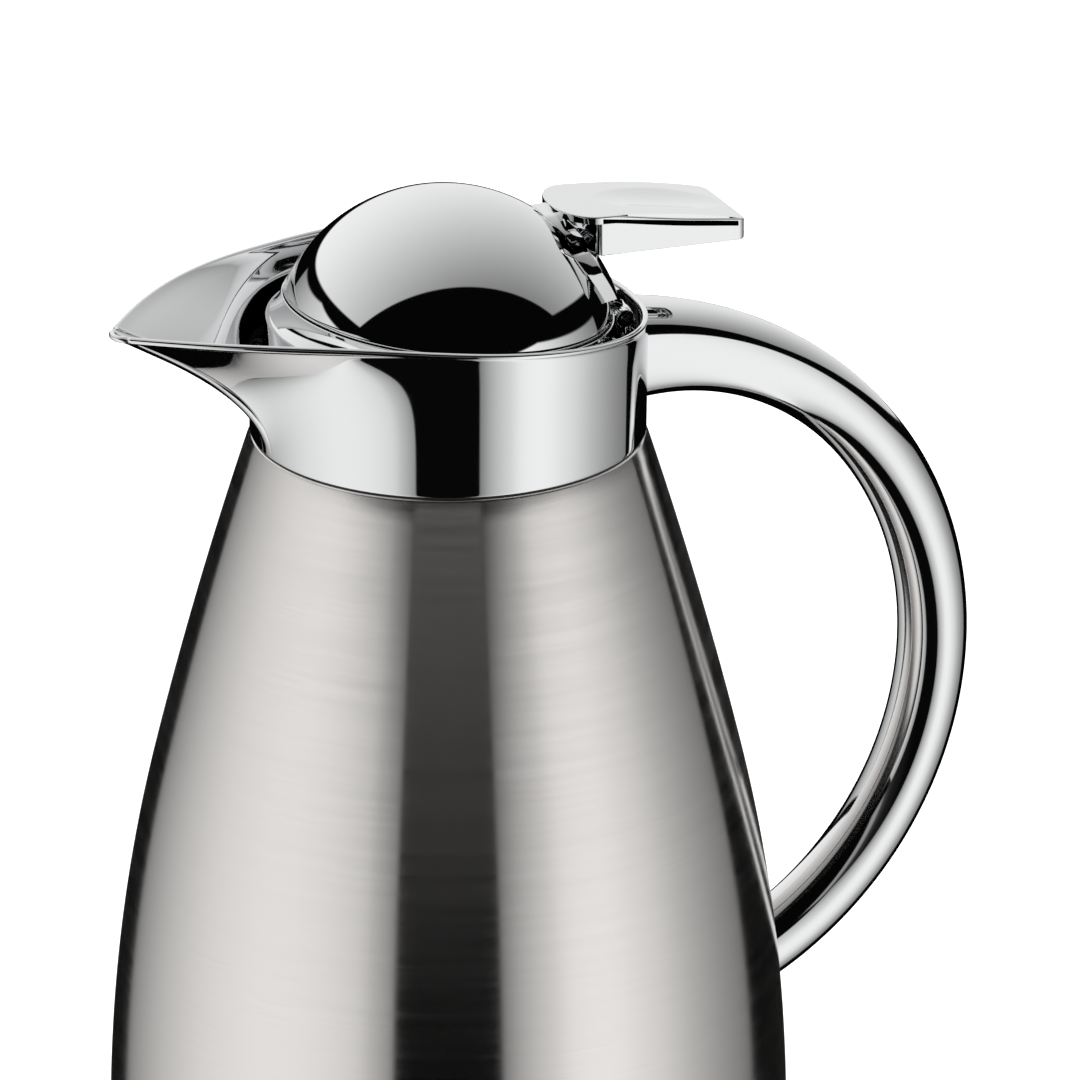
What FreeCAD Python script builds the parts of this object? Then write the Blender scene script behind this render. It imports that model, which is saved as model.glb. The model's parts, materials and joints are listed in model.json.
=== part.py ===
import FreeCAD, Part
import math
import os
import re

import Sketcher

# Insulated pouring jug: steel jacket, glass vacuum flask, spouted collar, hoop handle
# and a lift-out closure whose domed lid swings up when its thumb lever is pressed.
# Millimetres. Origin: centre of the base on the table. +Z up, spout at -X, handle at +X.

Vector = FreeCAD.Vector
Y_AXIS = Vector(0, 1, 0)

doc = FreeCAD.newDocument("PouringJug")
sheet = doc.addObject("Spreadsheet::Sheet", "Sizes")

driving = [
    # jacket
    ("seam_height", 192.0, "base to the seam under the collar"),
    ("neck_build", 22.4, "from the flask's mouth out to the jacket at the seam"),
    ("belly_radius", 79.4, "jacket at its widest"),
    ("belly_height", 20.0, "height of the widest ring"),
    ("foot_tuck", 2.2, "how far the jacket draws in below the belly"),
    ("shell_foot", 3.0, "height of the jacket's lower edge"),
    ("shell_wall", 1.0, "jacket sheet"),
    ("shoulder_fullness", 1.63, "lean at the neck over the mean lean"),
    ("join_share", 0.75, "lean where the two side arcs meet, over the neck's"),
    ("flange_gap", 1.0, "jacket's top flange to the liner's sleeve"),
    # base
    ("base_floor", 3.5, "underside of the base plate"),
    ("base_plate", 2.0, "base plate thickness"),
    ("foot_height", 1.5, "rubber ring"),
    ("foot_inset", 12.2, "rubber ring's inner edge inside the jacket's foot"),
    ("foot_width", 8.0, "rubber ring, radial width"),
    ("spigot_height", 7.0, "base spigot inside the jacket"),
    ("spigot_wall", 1.8, "base spigot wall"),
    ("spigot_gap", 0.2, "base spigot to jacket"),
    ("bracket_width", 22.0, "bracket ring, radial width"),
    ("bracket_sheet", 1.2, "bracket ring sheet"),
    ("base_screw_inset", 17.7, "base screws inside the jacket's foot"),
    ("base_post_radius", 4.0, "screw posts on the base cover"),
    ("base_screw_radius", 1.5, "base screws, shank"),
    ("base_head_radius", 3.2, "base screws, head"),
    ("base_head_height", 1.2, "base screws, head"),
    ("screw_clearance", 0.2, "screw to its clearance hole"),
    ("screw_run_out", 1.5, "screw end beyond the sheet it holds"),
    ("cradle_inner", 16.0, "flask cradle, inner radius"),
    ("cradle_width", 18.0, "flask cradle, radial width"),
    # flask
    ("flask_drop", 6.0, "mouth of the flask below the seam"),
    ("flask_bottom", 14.0, "underside of the flask"),
    ("mouth_radius", 24.0, "inside of the flask mouth"),
    ("glass_wall", 1.7, "each glass wall"),
    ("vacuum_gap", 5.0, "between the glass walls, body"),
    ("neck_gap", 1.6, "between the glass walls, neck"),
    ("flask_clearance", 7.0, "flask to jacket at the belly"),
    ("shoulder_clearance", 4.0, "flask to jacket at the shoulder"),
    ("shoulder_drop", 42.0, "flask turns in this far below the seam"),
    ("flask_waist", 62.0, "height where the flask's side starts"),
    ("throat_drop", 21.0, "flask's neck starts below the seam"),
    ("hip_share", 0.72, "end of the flask's round bottom, over its radius"),
    ("bottom_round", 1.4, "arc of the flask's bottom, over its waist's height"),
    ("hip_arc", 40.0, "arcs at the flask's hip and shoulder"),
    ("flask_side_arc", 400.0, "arc of the flask's side"),
    ("lip_height", 1.4, "fused lip of the flask"),
    ("gasket_height", 2.0, "neck gasket"),
    ("cradle_gap", 0.5, "cradle to the flask"),
    ("mouth_gap", 0.3, "gaskets set back from the flask's mouth"),
    # collar
    ("seam_gap", 0.5, "seam ring height"),
    ("collar_wall", 1.2, "collar sheet"),
    ("collar_flare", 0.6, "collar rim radius over the neck radius"),
    ("rim_radius", 480.0, "arc of the rim, side view"),
    ("rim_crest", 37.9, "highest rim point above the seam"),
    ("rim_crest_reach", 52.0, "highest rim point, from the axis"),
    ("spout_reach", 87.5, "spout tip from the axis"),
    ("spout_side_arc", 190.0, "arc of each spout side, plan view"),
    ("spout_start", 14.0, "where the spout leaves the round collar"),
    ("spout_tip_round", 4.5, "spout tip radius"),
    ("spout_rise", 37.0, "height over which the spout swells"),
    ("keel_swell", 1.8, "power of the swell along the spout's keel"),
    ("side_swell", 3.6, "added to it where the spout leaves the collar"),
    ("collar_flange_gap", 2.0, "collar's lower flange to the liner's sleeve"),
    ("collar_screw_inset", 5.2, "collar screws inside the neck"),
    ("collar_screw_radius", 1.2, "collar screws, shank"),
    ("collar_head_radius", 2.6, "collar screws, head"),
    ("collar_head_height", 1.8, "collar screws, head"),
    ("collar_boss_radius", 3.0, "screw bosses under the liner's tray"),
    ("seam_inset", 0.5, "seam ring inside the jacket's outside"),
    # liner
    ("tray_height", 7.5, "top of the liner's tray above the seam"),
    ("tray_sheet", 2.0, "liner sheet"),
    ("tray_gap", 0.6, "tray to the collar"),
    ("tray_lip", 1.2, "raised edge of the tray"),
    ("plug_ledge", 7.0, "stopper's bore beyond the flask's mouth"),
    ("sleeve_wall", 4.0, "liner's sleeve round the stopper's bore"),
    ("skirt_depth", 4.0, "liner's skirt below its ledge"),
    ("skirt_gap", 0.7, "liner's skirt to the flask's neck"),
    ("ledge_gap", 0.5, "liner's ledge set back from the flask's mouth"),
    # handle
    ("handle_centre_x", 42.5, "centre of the handle's arc"),
    ("root_rise", 12.9, "handle's root above the seam"),
    ("root_inset", 8.25, "handle's root inside the neck, before trimming"),
    ("handle_foot_height", 48.2, "handle's lower end above the base"),
    ("handle_foot_out", 1.04, "handle's centre line beyond the belly there"),
    ("handle_foot_inset", 11.26, "handle's foot inside the belly, before trimming"),
    ("root_squareness", 0.8, "added power of the root's section"),
    ("root_ease", 1.8, "power of the growth towards the root"),
    ("handle_radius", 8.25, "round part of the handle"),
    ("root_half_height", 12.6, "handle at the collar"),
    ("root_half_width", 12.0, "handle at the collar"),
    ("handle_screw_radius", 2.0, "handle screws, shank"),
    ("top_head_radius", 3.4, "upper handle screw, head"),
    ("top_head_height", 1.5, "upper handle screw, head"),
    ("top_grip", 13.6, "upper handle screw beyond the neck"),
    ("foot_head_radius", 3.8, "lower handle screw, head"),
    ("foot_head_height", 2.0, "lower handle screw, head"),
    ("foot_grip", 10.6, "lower handle screw beyond the belly"),
    ("washer_radius", 7.0, "washer of the lower handle screw"),
    ("washer_sheet", 1.2, "washer of the lower handle screw"),
    ("washer_gap", 0.4, "washer's rim to the round jacket"),
    ("top_screw_height", 13.0, "upper handle screw above the seam"),
    # closure
    ("crease_height", 31.2, "dome's lower edge above the seam"),
    ("closure_tilt", 5.5, "lean of the dome's edge and its ring, degrees"),
    ("dome_inset", 5.4, "dome's sphere inside the neck"),
    ("dome_drop", 13.3, "sphere centre below the dome's edge"),
    ("dome_wall", 1.0, "dome sheet"),
    ("lid_gap", 0.25, "dome's edge to the ring"),
    ("ring_inset", 4.1, "closure ring inside the neck"),
    ("ring_bead", 0.9, "rolled bead under the ring's shoulder"),
    ("ring_bead_arc", 1.0, "arc of that bead"),
    ("ring_slope_arc", 9.0, "arc of the ring's sloping shoulder"),
    ("ring_skirt", 26.0, "ring below the dome's edge, before trimming"),
    ("ring_wall", 1.4, "closure ring wall"),
    ("ring_shoulder", 5.2, "depth of the ring's sloping shoulder"),
    ("ring_foot", 13.0, "ring's lower edge above the seam"),
    ("window_half_width", 13.0, "pouring window in the ring"),
    ("window_height", 5.3, "pouring window in the ring"),
    ("plug_clearance", 0.4, "stopper to the liner's bore"),
    ("plug_lift", 1.0, "stopper's plug above the liner's ledge"),
    ("tube_clearance", 1.5, "stopper tube to the flask's mouth"),
    ("tube_wall", 5.5, "stopper tube"),
    ("seal_depth", 3.0, "stopper gasket below the flask's mouth"),
    ("tube_length", 17.0, "stopper tube below the plug"),
    ("seat_width", 2.5, "raised seat round the bore"),
    ("seat_rise", 1.0, "raised seat above the flange"),
    ("flange_sheet", 2.5, "stopper flange"),
    # hinge
    ("pin_inset", 1.3, "hinge pin's axis inside the ring's outside"),
    ("pin_drop", 2.6, "hinge pin below the dome's edge"),
    ("pin_radius", 1.1, "hinge pin"),
    ("pin_overhang", 0.2, "hinge pin beyond the ring's knuckles"),
    ("knuckle_wall", 1.1, "hinge knuckles round the pin"),
    ("knuckle_room", 0.6, "ring cut back from the knuckles"),
    ("barrel_half_width", 5.0, "lid's knuckle"),
    ("spring_room", 3.6, "hinge spring between the knuckles"),
    ("hinge_wire", 0.3, "hinge spring wire radius"),
    ("ear_width", 2.6, "ring's knuckles"),
    ("running_fit", 0.05, "radial clearance on the pin and the stem"),
    # lever
    ("lever_width", 24.0, "thumb plate"),
    ("lever_lap", 15.0, "front of the thumb plate inside the dome's sphere"),
    ("lever_overhang", 30.5, "thumb plate beyond the dome's sphere"),
    ("lever_sink", 6.96, "thumb plate's crown below the dome's top"),
    ("lever_nose", 8.0, "length of the plate's oval nose"),
    ("tail_corner", 2.2, "tail corners in plan"),
    ("lever_crown_reach", 20.0, "thumb plate's crown from the axis"),
    ("lever_arc", 190.0, "arc of the thumb plate, side view"),
    ("lever_sheet", 1.8, "plate and skirts"),
    ("skirt_start", 7.0, "lever's skirts behind the plate's front"),
    ("lever_skirt", 10.3, "skirt's lower edge below the crown, front"),
    ("skirt_foot_fall", 1.8, "how much lower the skirt's edge is at the tail"),
    ("saddle_sheet", 2.4, "saddle behind the dome"),
    ("saddle_half_width", 19.5, "saddle at its foot"),
    ("saddle_knee", 19.0, "saddle starts to narrow above the sphere's centre"),
    ("saddle_neck", 29.5, "saddle is as narrow as the plate there"),
    ("dimple_depth", 1.0, "thumb dimple"),
    ("dimple_back", 17.5, "middle of the thumb dimple before the tail"),
    ("dimple_ball", 4.0, "half height of the ellipsoid that presses it"),
    ("dimple_half_length", 25.7, "half length of that ellipsoid"),
    ("dimple_half_width", 11.3, "half width of that ellipsoid"),
    ("lever_boss_radius", 2.4, "screw bosses inside the saddle"),
    ("lever_screw_radius", 1.2, "lever screws, shank"),
    ("lever_head_radius", 2.2, "lever screws, head"),
    ("lever_head_height", 1.9, "lever screws, head"),
    ("lever_screw_hold", 5.5, "lever screws beyond the dome"),
    # lid inside
    ("liner_floor", 36.0, "underside of the lid liner above the seam"),
    ("liner_sheet", 2.5, "lid liner"),
    ("boss_height", 5.5, "stem boss on the lid liner"),
    ("stem_radius", 1.6, "valve stem"),
    ("valve_overlap", 3.0, "valve plate beyond the pouring bore"),
    ("stem_seat", 1.5, "stem's socket in the valve plate"),
    ("valve_sheet", 2.5, "valve plate"),
    ("valve_gasket_height", 0.6, "valve gasket"),
    ("valve_gap", 0.3, "valve gasket above its seat"),
    ("clip_gap", 0.3, "stem clip above the boss"),
    ("valve_spring_radius", 5.0, "valve spring coil"),
    ("valve_spring_wire", 0.45, "valve spring wire radius"),
]
for row, (alias, value, words) in enumerate(driving, start=1):
    sheet.set("A%d" % row, words)
    sheet.set("B%d" % row, str(value))
    sheet.setAlias("B%d" % row, alias)
doc.recompute()
aliases = {alias for alias, value, words in driving}

# sizes that follow from the driving ones; each may use those above it
derived = [
    ("neck_radius", "(mouth_radius + neck_build)"),
    ("plug_bore", "(mouth_radius + plug_ledge)"),
    ("skirt_radius", "(plug_bore + sleeve_wall)"),
    ("flange_bore", "(skirt_radius + flange_gap)"),
    ("collar_flange_bore", "(skirt_radius + collar_flange_gap)"),
    ("collar_screw_circle", "(neck_radius - collar_screw_inset)"),
    ("foot_inner", "(belly_radius - foot_tuck - foot_inset)"),
    ("base_screw_circle", "(belly_radius - foot_tuck - base_screw_inset)"),
    ("flask_top", "(seam_height - flask_drop)"),
    ("flask_shoulder", "(seam_height - shoulder_drop)"),
    ("flask_throat", "(seam_height - throat_drop)"),
    ("stem_tube_radius", "(mouth_radius - tube_clearance)"),
    ("tube_bore", "(stem_tube_radius - tube_wall)"),
    ("valve_radius", "(tube_bore + valve_overlap)"),
    ("handle_top", "(seam_height + root_rise)"),
    ("root_offset", "(neck_radius - root_inset - handle_centre_x)"),
    ("foot_offset", "(belly_radius + handle_foot_out - handle_centre_x)"),
    ("handle_skew", "((foot_offset ^ 2 - root_offset ^ 2) / (handle_top - handle_foot_height))"),
    ("handle_centre_z", "((handle_top + handle_foot_height - handle_skew) / 2)"),
    ("handle_arc", "sqrt(root_offset ^ 2 + (handle_top - handle_centre_z) ^ 2)"),
    ("ring_radius", "(neck_radius - ring_inset)"),
    ("dome_radius", "(neck_radius - dome_inset)"),
    ("pin_reach", "(ring_radius - pin_inset)"),
    ("knuckle_radius", "(pin_radius + knuckle_wall)"),
    ("ear_start", "(barrel_half_width + spring_room)"),
    ("pin_half_length", "(ear_start + ear_width + pin_overhang)"),
    ("lever_front", "(dome_radius - lever_lap)"),
    ("lever_tail", "(dome_radius + lever_overhang)"),
    ("lever_crown", "(crease_height - dome_drop * cos(closure_tilt) + dome_radius - lever_sink)"),
    ("skirt_front", "(lever_front + skirt_start)"),
    ("skirt_foot", "(lever_crown - lever_skirt)"),
]


def spelled_out(text):
    """An expression with its derived sizes written out in driving ones."""
    for name, meaning in reversed(derived):
        text = re.sub(r"\b%s\b" % name, lambda word: meaning, text)
    return text


def num(text):
    """Value of an expression in the sheet's own names."""
    return float(sheet.evalExpression(spelled_out(text)))


def bound(text):
    """The same expression as another object reads it."""
    words = re.split("([a-z_]+)", spelled_out(text))
    return "".join("Sizes." + word if word in aliases else word for word in words)


# ---------------------------------------------------------------- shared geometry

RISE = "(seam_height - belly_height)"
INSET = "(belly_radius - neck_radius)"
NECK_LEAN = "(shoulder_fullness * atan(%s / %s))" % (INSET, RISE)
JOIN_LEAN = "(join_share * %s)" % NECK_LEAN
SINE_LOW = "sin(%s)" % JOIN_LEAN
SINE_HIGH = "(sin(%s) - sin(%s))" % (NECK_LEAN, JOIN_LEAN)
COS_LOW = "(1 - cos(%s))" % JOIN_LEAN
COS_HIGH = "(cos(%s) - cos(%s))" % (JOIN_LEAN, NECK_LEAN)
CROSS = "(%s * %s - %s * %s)" % (SINE_LOW, COS_HIGH, SINE_HIGH, COS_LOW)
LOWER_ARC = "((%s * %s - %s * %s) / %s)" % (RISE, COS_HIGH, INSET, SINE_HIGH, CROSS)
UPPER_ARC = "((%s * %s - %s * %s) / %s)" % (INSET, SINE_LOW, RISE, COS_LOW, CROSS)
JOIN_RADIUS = "(belly_radius - %s * %s)" % (LOWER_ARC, COS_LOW)
JOIN_HEIGHT = "(belly_height + %s * %s)" % (LOWER_ARC, SINE_LOW)
FOOT_RADIUS = "(belly_radius - foot_tuck)"
FOOT_RISE = "(belly_height - shell_foot)"
FOOT_ARC = "((%s * %s + foot_tuck * foot_tuck) / (2 * foot_tuck))" % (FOOT_RISE, FOOT_RISE)

COLLAR_FOOT = "(seam_height + seam_gap)"
CREASE = "(seam_height + crease_height)"
DOME_CENTRE_X = "(-dome_drop * sin(closure_tilt))"
DOME_CENTRE_Z = "(%s - dome_drop * cos(closure_tilt))" % CREASE
PIN_X = "(pin_reach * cos(closure_tilt) - pin_drop * sin(closure_tilt))"
PIN_Z = "(%s - pin_reach * sin(closure_tilt) - pin_drop * cos(closure_tilt))" % CREASE
LEDGE = "(flask_top + gasket_height + tray_sheet)"
PLUG_FOOT = "(%s + plug_lift)" % LEDGE
FLANGE_FOOT = "(seam_height + ring_foot)"
FLANGE_TOP = "(%s + flange_sheet)" % FLANGE_FOOT
SEAT_TOP = "(%s + seat_rise)" % FLANGE_TOP
GASKET_FOOT = "(%s + valve_gap)" % SEAT_TOP
VALVE_FOOT = "(%s + valve_gasket_height)" % GASKET_FOOT
VALVE_TOP = "(%s + valve_sheet)" % VALVE_FOOT
LINER_FLOOR = "(seam_height + liner_floor)"
LINER_TOP = "(%s + liner_sheet)" % LINER_FLOOR
BOSS_TOP = "(%s + boss_height)" % LINER_TOP


def plane_of(body, role):
    return [feature for feature in body.Origin.OriginFeatures if feature.Role == role][0]


def new_body(label):
    body = doc.addObject("PartDesign::Body", label)
    body.Label = label
    return body


def new_sketch(body, name, role, lift=None):
    sketch = body.newObject("Sketcher::SketchObject", name)
    sketch.AttachmentSupport = [(plane_of(body, role), "")]
    sketch.MapMode = "FlatFace"
    if lift:
        sketch.setExpression(".AttachmentOffset.Base.z", bound(lift))
    return sketch


def pin_point(sketch, geometry, end, across, up):
    """Tie one point to expressions, or to an axis where the expression is '0'."""
    for kind, text, axis in (("DistanceX", across, -2), ("DistanceY", up, -1)):
        if text == "0":
            sketch.addConstraint(Sketcher.Constraint("PointOnObject", geometry, end, axis))
            continue
        index = sketch.addConstraint(Sketcher.Constraint(kind, -1, 1, geometry, end, num(text)))
        sketch.setExpression("Constraints[%d]" % index, bound(text))


def arc_between(start, end, radius):
    """Arc from start to end; a positive radius turns left, a negative one right."""
    chord = end - start
    half = chord.Length / 2
    rise = math.sqrt(max(radius * radius - half * half, 0.0))
    side = Vector(-chord.y, chord.x, 0).normalize() * math.copysign(1.0, radius)
    centre = (start + end) * 0.5 + side * rise
    middle = centre - side * abs(radius)
    return Part.Arc(start, middle, end)


def draw_outline(sketch, corners, arcs=None):
    """Closed outline of tied corners; arcs maps an edge's first corner to its radius."""
    arcs = arcs or {}
    points = [Vector(num(across), num(up), 0) for across, up in corners]
    count = len(points)
    ends = {}
    for i in range(count):
        start, end = points[i], points[(i + 1) % count]
        if i in arcs:
            sign, radius = arcs[i]
            index = sketch.addGeometry(arc_between(start, end, sign * num(radius)), False)
            # a sketch keeps its arcs counter-clockwise
            ends[i] = (1, 2) if sign > 0 else (2, 1)
            tie = sketch.addConstraint(Sketcher.Constraint("Radius", index, num(radius)))
            sketch.setExpression("Constraints[%d]" % tie, bound(radius))
        else:
            sketch.addGeometry(Part.LineSegment(start, end), False)
            ends[i] = (1, 2)
    for i in range(count):
        following = (i + 1) % count
        sketch.addConstraint(Sketcher.Constraint("Coincident", i, ends[i][1], following, ends[following][0]))
    for i, (across, up) in enumerate(corners):
        pin_point(sketch, i, ends[i][0], across, up)


def turned(label, corners, arcs=None):
    """A body of revolution about its own Z axis from an outline of (radius, height)."""
    body = new_body(label)
    sketch = new_sketch(body, label + "_outline", "XZ_Plane")
    draw_outline(sketch, corners, arcs)
    turn = body.newObject("PartDesign::Revolution", label + "_turn")
    turn.Profile = sketch
    turn.ReferenceAxis = (sketch, ["V_Axis"])
    turn.Angle = 360
    doc.recompute()
    return body


def draw_circles(sketch, circles):
    for across, up, radius in circles:
        circle = Part.Circle(Vector(num(across), num(up), 0), Vector(0, 0, 1), num(radius))
        index = sketch.addGeometry(circle, False)
        pin_point(sketch, index, 3, across, up)
        tie = sketch.addConstraint(Sketcher.Constraint("Radius", index, num(radius)))
        sketch.setExpression("Constraints[%d]" % tie, bound(radius))


def add_posts(body, name, circles, foot, length):
    sketch = new_sketch(body, name + "_circles", "XY_Plane", foot)
    draw_circles(sketch, circles)
    pad = body.newObject("PartDesign::Pad", name)
    pad.Profile = sketch
    pad.setExpression("Length", bound(length))
    doc.recompute()


def drill(body, name, circles, foot, length, role="XY_Plane"):
    """Round holes along the plane's own normal; the volume has to fall."""
    before = body.Shape.Volume
    sketch = new_sketch(body, name + "_circles", role, foot)
    draw_circles(sketch, circles)
    pocket = body.newObject("PartDesign::Pocket", name)
    pocket.Profile = sketch
    pocket.Reversed = True
    pocket.setExpression("Length", bound(length))
    doc.recompute()
    if not body.Shape.Volume < before:
        raise ValueError("%s cuts nothing" % name)


def around(count, circle, radius, first=60):
    """Circles evenly spaced on a circle, as expressions."""
    step = 360.0 / count
    angles = [first + step * i for i in range(count)]
    return [("%s * cos(%g)" % (circle, a), "%s * sin(%g)" % (circle, a), radius) for a in angles]


def feature(label, shape):
    item = doc.addObject("Part::Feature", label)
    item.Label = label
    item.Shape = shape
    return item


def tilted(x=0.0, z=0.0):
    """Placement in the closure's leaning frame: origin at the middle of the dome's edge."""
    frame = FreeCAD.Placement(Vector(0, 0, num(CREASE)), FreeCAD.Rotation(Y_AXIS, num("closure_tilt")))
    return frame * FreeCAD.Placement(Vector(x, 0, z), FreeCAD.Rotation())


def lean(item):
    """Put an object in the closure's leaning frame, tied to the sheet."""
    item.Placement = tilted()
    item.setExpression(".Placement.Base.z", bound(CREASE))
    item.setExpression(".Placement.Rotation.Angle", bound("closure_tilt"))


# ---------------------------------------------------------------- jacket and base

outer_shell = turned(
    "outer_shell",
    [
        (FOOT_RADIUS, "shell_foot"),
        ("belly_radius", "belly_height"),
        (JOIN_RADIUS, JOIN_HEIGHT),
        ("neck_radius", "seam_height"),
        ("flange_bore", "seam_height"),
        ("flange_bore", "seam_height - shell_wall"),
        ("neck_radius - shell_wall", "seam_height - shell_wall"),
        (JOIN_RADIUS + " - shell_wall", JOIN_HEIGHT),
        ("belly_radius - shell_wall", "belly_height"),
        (FOOT_RADIUS + " - shell_wall", "shell_foot"),
    ],
    {
        0: (1, FOOT_ARC),
        1: (1, LOWER_ARC),
        2: (1, UPPER_ARC),
        6: (-1, UPPER_ARC),
        7: (-1, LOWER_ARC),
        8: (-1, FOOT_ARC),
    },
)
COLLAR_HOLE = "(collar_screw_radius + screw_clearance)"
HANDLE_HOLE = "(handle_screw_radius + screw_clearance)"
drill(
    outer_shell,
    "flange_holes",
    around(3, "collar_screw_circle", COLLAR_HOLE),
    "seam_height - 2 * shell_wall",
    "3 * shell_wall",
)
drill(
    outer_shell,
    "handle_hole",
    [("0", "handle_foot_height", HANDLE_HOLE)],
    "belly_radius / 2",
    "belly_radius",
    "YZ_Plane",
)

SPIGOT_TOP = "(shell_foot + spigot_height)"
SPIGOT_RADIUS = "(%s - shell_wall - spigot_gap)" % FOOT_RADIUS
base_cover = turned(
    "base_cover",
    [
        ("0", "base_floor"),
        ("foot_inner - 1", "base_floor"),
        ("foot_inner - 1", "foot_height"),
        (FOOT_RADIUS, "foot_height"),
        (FOOT_RADIUS, "shell_foot"),
        (SPIGOT_RADIUS, "shell_foot"),
        (SPIGOT_RADIUS, SPIGOT_TOP),
        (SPIGOT_RADIUS + " - spigot_wall", SPIGOT_TOP),
        (SPIGOT_RADIUS + " - spigot_wall", "base_floor + base_plate"),
        ("0", "base_floor + base_plate"),
    ],
)
add_posts(
    base_cover,
    "screw_posts",
    around(3, "base_screw_circle", "base_post_radius"),
    "base_floor + base_plate",
    SPIGOT_TOP + " - base_floor - base_plate",
)
BASE_HOLE = "(base_screw_radius + screw_clearance)"
drill(base_cover, "post_holes", around(3, "base_screw_circle", BASE_HOLE), "0", SPIGOT_TOP + " + 1")

foot_ring = turned(
    "foot_ring",
    [
        ("foot_inner", "0"),
        ("foot_inner + foot_width", "0"),
        ("foot_inner + foot_width", "foot_height"),
        ("foot_inner", "foot_height"),
    ],
)

# the jacket's own belly lets the ring stand wider than the foot's bore
BRACKET_RADIUS = "(%s - shell_wall + 1)" % FOOT_RADIUS
base_bracket = turned(
    "base_bracket",
    [
        (BRACKET_RADIUS + " - bracket_width", SPIGOT_TOP),
        (BRACKET_RADIUS, SPIGOT_TOP),
        (BRACKET_RADIUS, SPIGOT_TOP + " + bracket_sheet"),
        (BRACKET_RADIUS + " - bracket_width", SPIGOT_TOP + " + bracket_sheet"),
    ],
)
drill(base_bracket, "bracket_holes", around(3, "base_screw_circle", BASE_HOLE), SPIGOT_TOP + " - 1", "4")


def screw(foot, head_radius, head_height, shank_radius, length):
    """Pan-head screw along +Z, head below, shank above; foot is the head's outer face."""
    head = Part.makeCylinder(head_radius, head_height, foot)
    shank = Part.makeCylinder(shank_radius, length, foot + Vector(0, 0, head_height))
    return head.fuse(shank).removeSplitter()


def ring_of(count, circle, make, first=60):
    angles = [math.radians(first + 360.0 / count * i) for i in range(count)]
    return Part.makeCompound([make(Vector(circle * math.cos(a), circle * math.sin(a), 0)) for a in angles])


base_screws = feature(
    "base_screws",
    ring_of(
        3,
        num("base_screw_circle"),
        lambda spot: screw(
            spot + Vector(0, 0, num("base_floor - base_head_height")),
            num("base_head_radius"),
            num("base_head_height"),
            num("base_screw_radius"),
            num(SPIGOT_TOP + " + bracket_sheet - base_floor + screw_run_out"),
        ),
    ),
)

# ---------------------------------------------------------------- vacuum flask

FLASK_RADIUS = "(belly_radius - shell_wall - flask_clearance)"
FLASK_TOP_RADIUS = (
    "(neck_radius + %s * (seam_height - flask_shoulder) / %s - shell_wall - shoulder_clearance)" % (INSET, RISE)
)
THROAT_RADIUS = "(mouth_radius + 2 * glass_wall + neck_gap)"
WALL_STEP = "(glass_wall + vacuum_gap)"
BOTTOM_ARC = "(flask_waist * bottom_round)"
HIP_RADIUS = "(%s * hip_share)" % FLASK_RADIUS


def bowl_point(step):
    """Where the flask's round bottom ends, on the surface that lies step inside the outermost."""
    radius = "(%s * (%s - %s) / %s)" % (HIP_RADIUS, BOTTOM_ARC, step, BOTTOM_ARC)
    depth = "sqrt((%s - %s) ^ 2 - %s ^ 2)" % (BOTTOM_ARC, step, radius)
    return radius, "(flask_bottom + %s - %s)" % (BOTTOM_ARC, depth)


def flask_wall(label, step, throat, top, lip):
    """One glass wall; step moves it inwards from the outermost glass surface."""
    inner = "(%s + glass_wall)" % step
    corners = [
        ("0", "flask_bottom + " + step),
        bowl_point(step),
        (FLASK_RADIUS + " - " + step, "flask_waist"),
        (FLASK_TOP_RADIUS + " - " + step, "flask_shoulder - " + step + " * 0.3"),
        (throat, "flask_throat"),
        (throat, top),
    ]
    arcs = {0: (1, "(%s - %s)" % (BOTTOM_ARC, step))}
    arcs.update({1: (1, "hip_arc"), 2: (1, "flask_side_arc"), 3: (1, "hip_arc")})
    if lip:
        corners += [(THROAT_RADIUS, top), (THROAT_RADIUS, top + " + lip_height")]
        corners += [("mouth_radius", top + " + lip_height"), ("mouth_radius", "flask_throat")]
    else:
        corners += [(throat + " - glass_wall", top), (throat + " - glass_wall", "flask_throat")]
    back = len(corners) - 1
    corners += [
        (FLASK_TOP_RADIUS + " - " + inner, "flask_shoulder - " + inner + " * 0.3"),
        (FLASK_RADIUS + " - " + inner, "flask_waist"),
        bowl_point(inner),
        ("0", "flask_bottom + " + inner),
    ]
    arcs[back] = (-1, "hip_arc")
    arcs[back + 1] = (-1, "flask_side_arc")
    arcs[back + 2] = (-1, "hip_arc")
    arcs[back + 3] = (-1, "(%s - %s)" % (BOTTOM_ARC, inner))
    return turned(label, corners, arcs)


LIP_FOOT = "(flask_top - lip_height)"
flask_outer_wall = flask_wall("flask_outer_wall", "0.0", THROAT_RADIUS, LIP_FOOT, False)
flask_inner_wall = flask_wall("flask_inner_wall", WALL_STEP, "(mouth_radius + glass_wall)", LIP_FOOT, True)

CRADLE_OUTER = "(cradle_inner + cradle_width)"


def cradle_top(radius):
    return "(flask_bottom - cradle_gap + %s - sqrt(%s ^ 2 - %s ^ 2))" % (BOTTOM_ARC, BOTTOM_ARC, radius)


flask_cradle = turned(
    "flask_cradle",
    [
        ("cradle_inner", "base_floor + base_plate"),
        (CRADLE_OUTER, "base_floor + base_plate"),
        (CRADLE_OUTER, cradle_top(CRADLE_OUTER)),
        ("cradle_inner", cradle_top("cradle_inner")),
    ],
    {2: (-1, BOTTOM_ARC)},
)

neck_gasket = turned(
    "neck_gasket",
    [
        ("mouth_radius + mouth_gap", "flask_top"),
        (THROAT_RADIUS, "flask_top"),
        (THROAT_RADIUS, "flask_top + gasket_height"),
        ("mouth_radius + mouth_gap", "flask_top + gasket_height"),
    ],
)

# ---------------------------------------------------------------- collar, spout and liner

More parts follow.
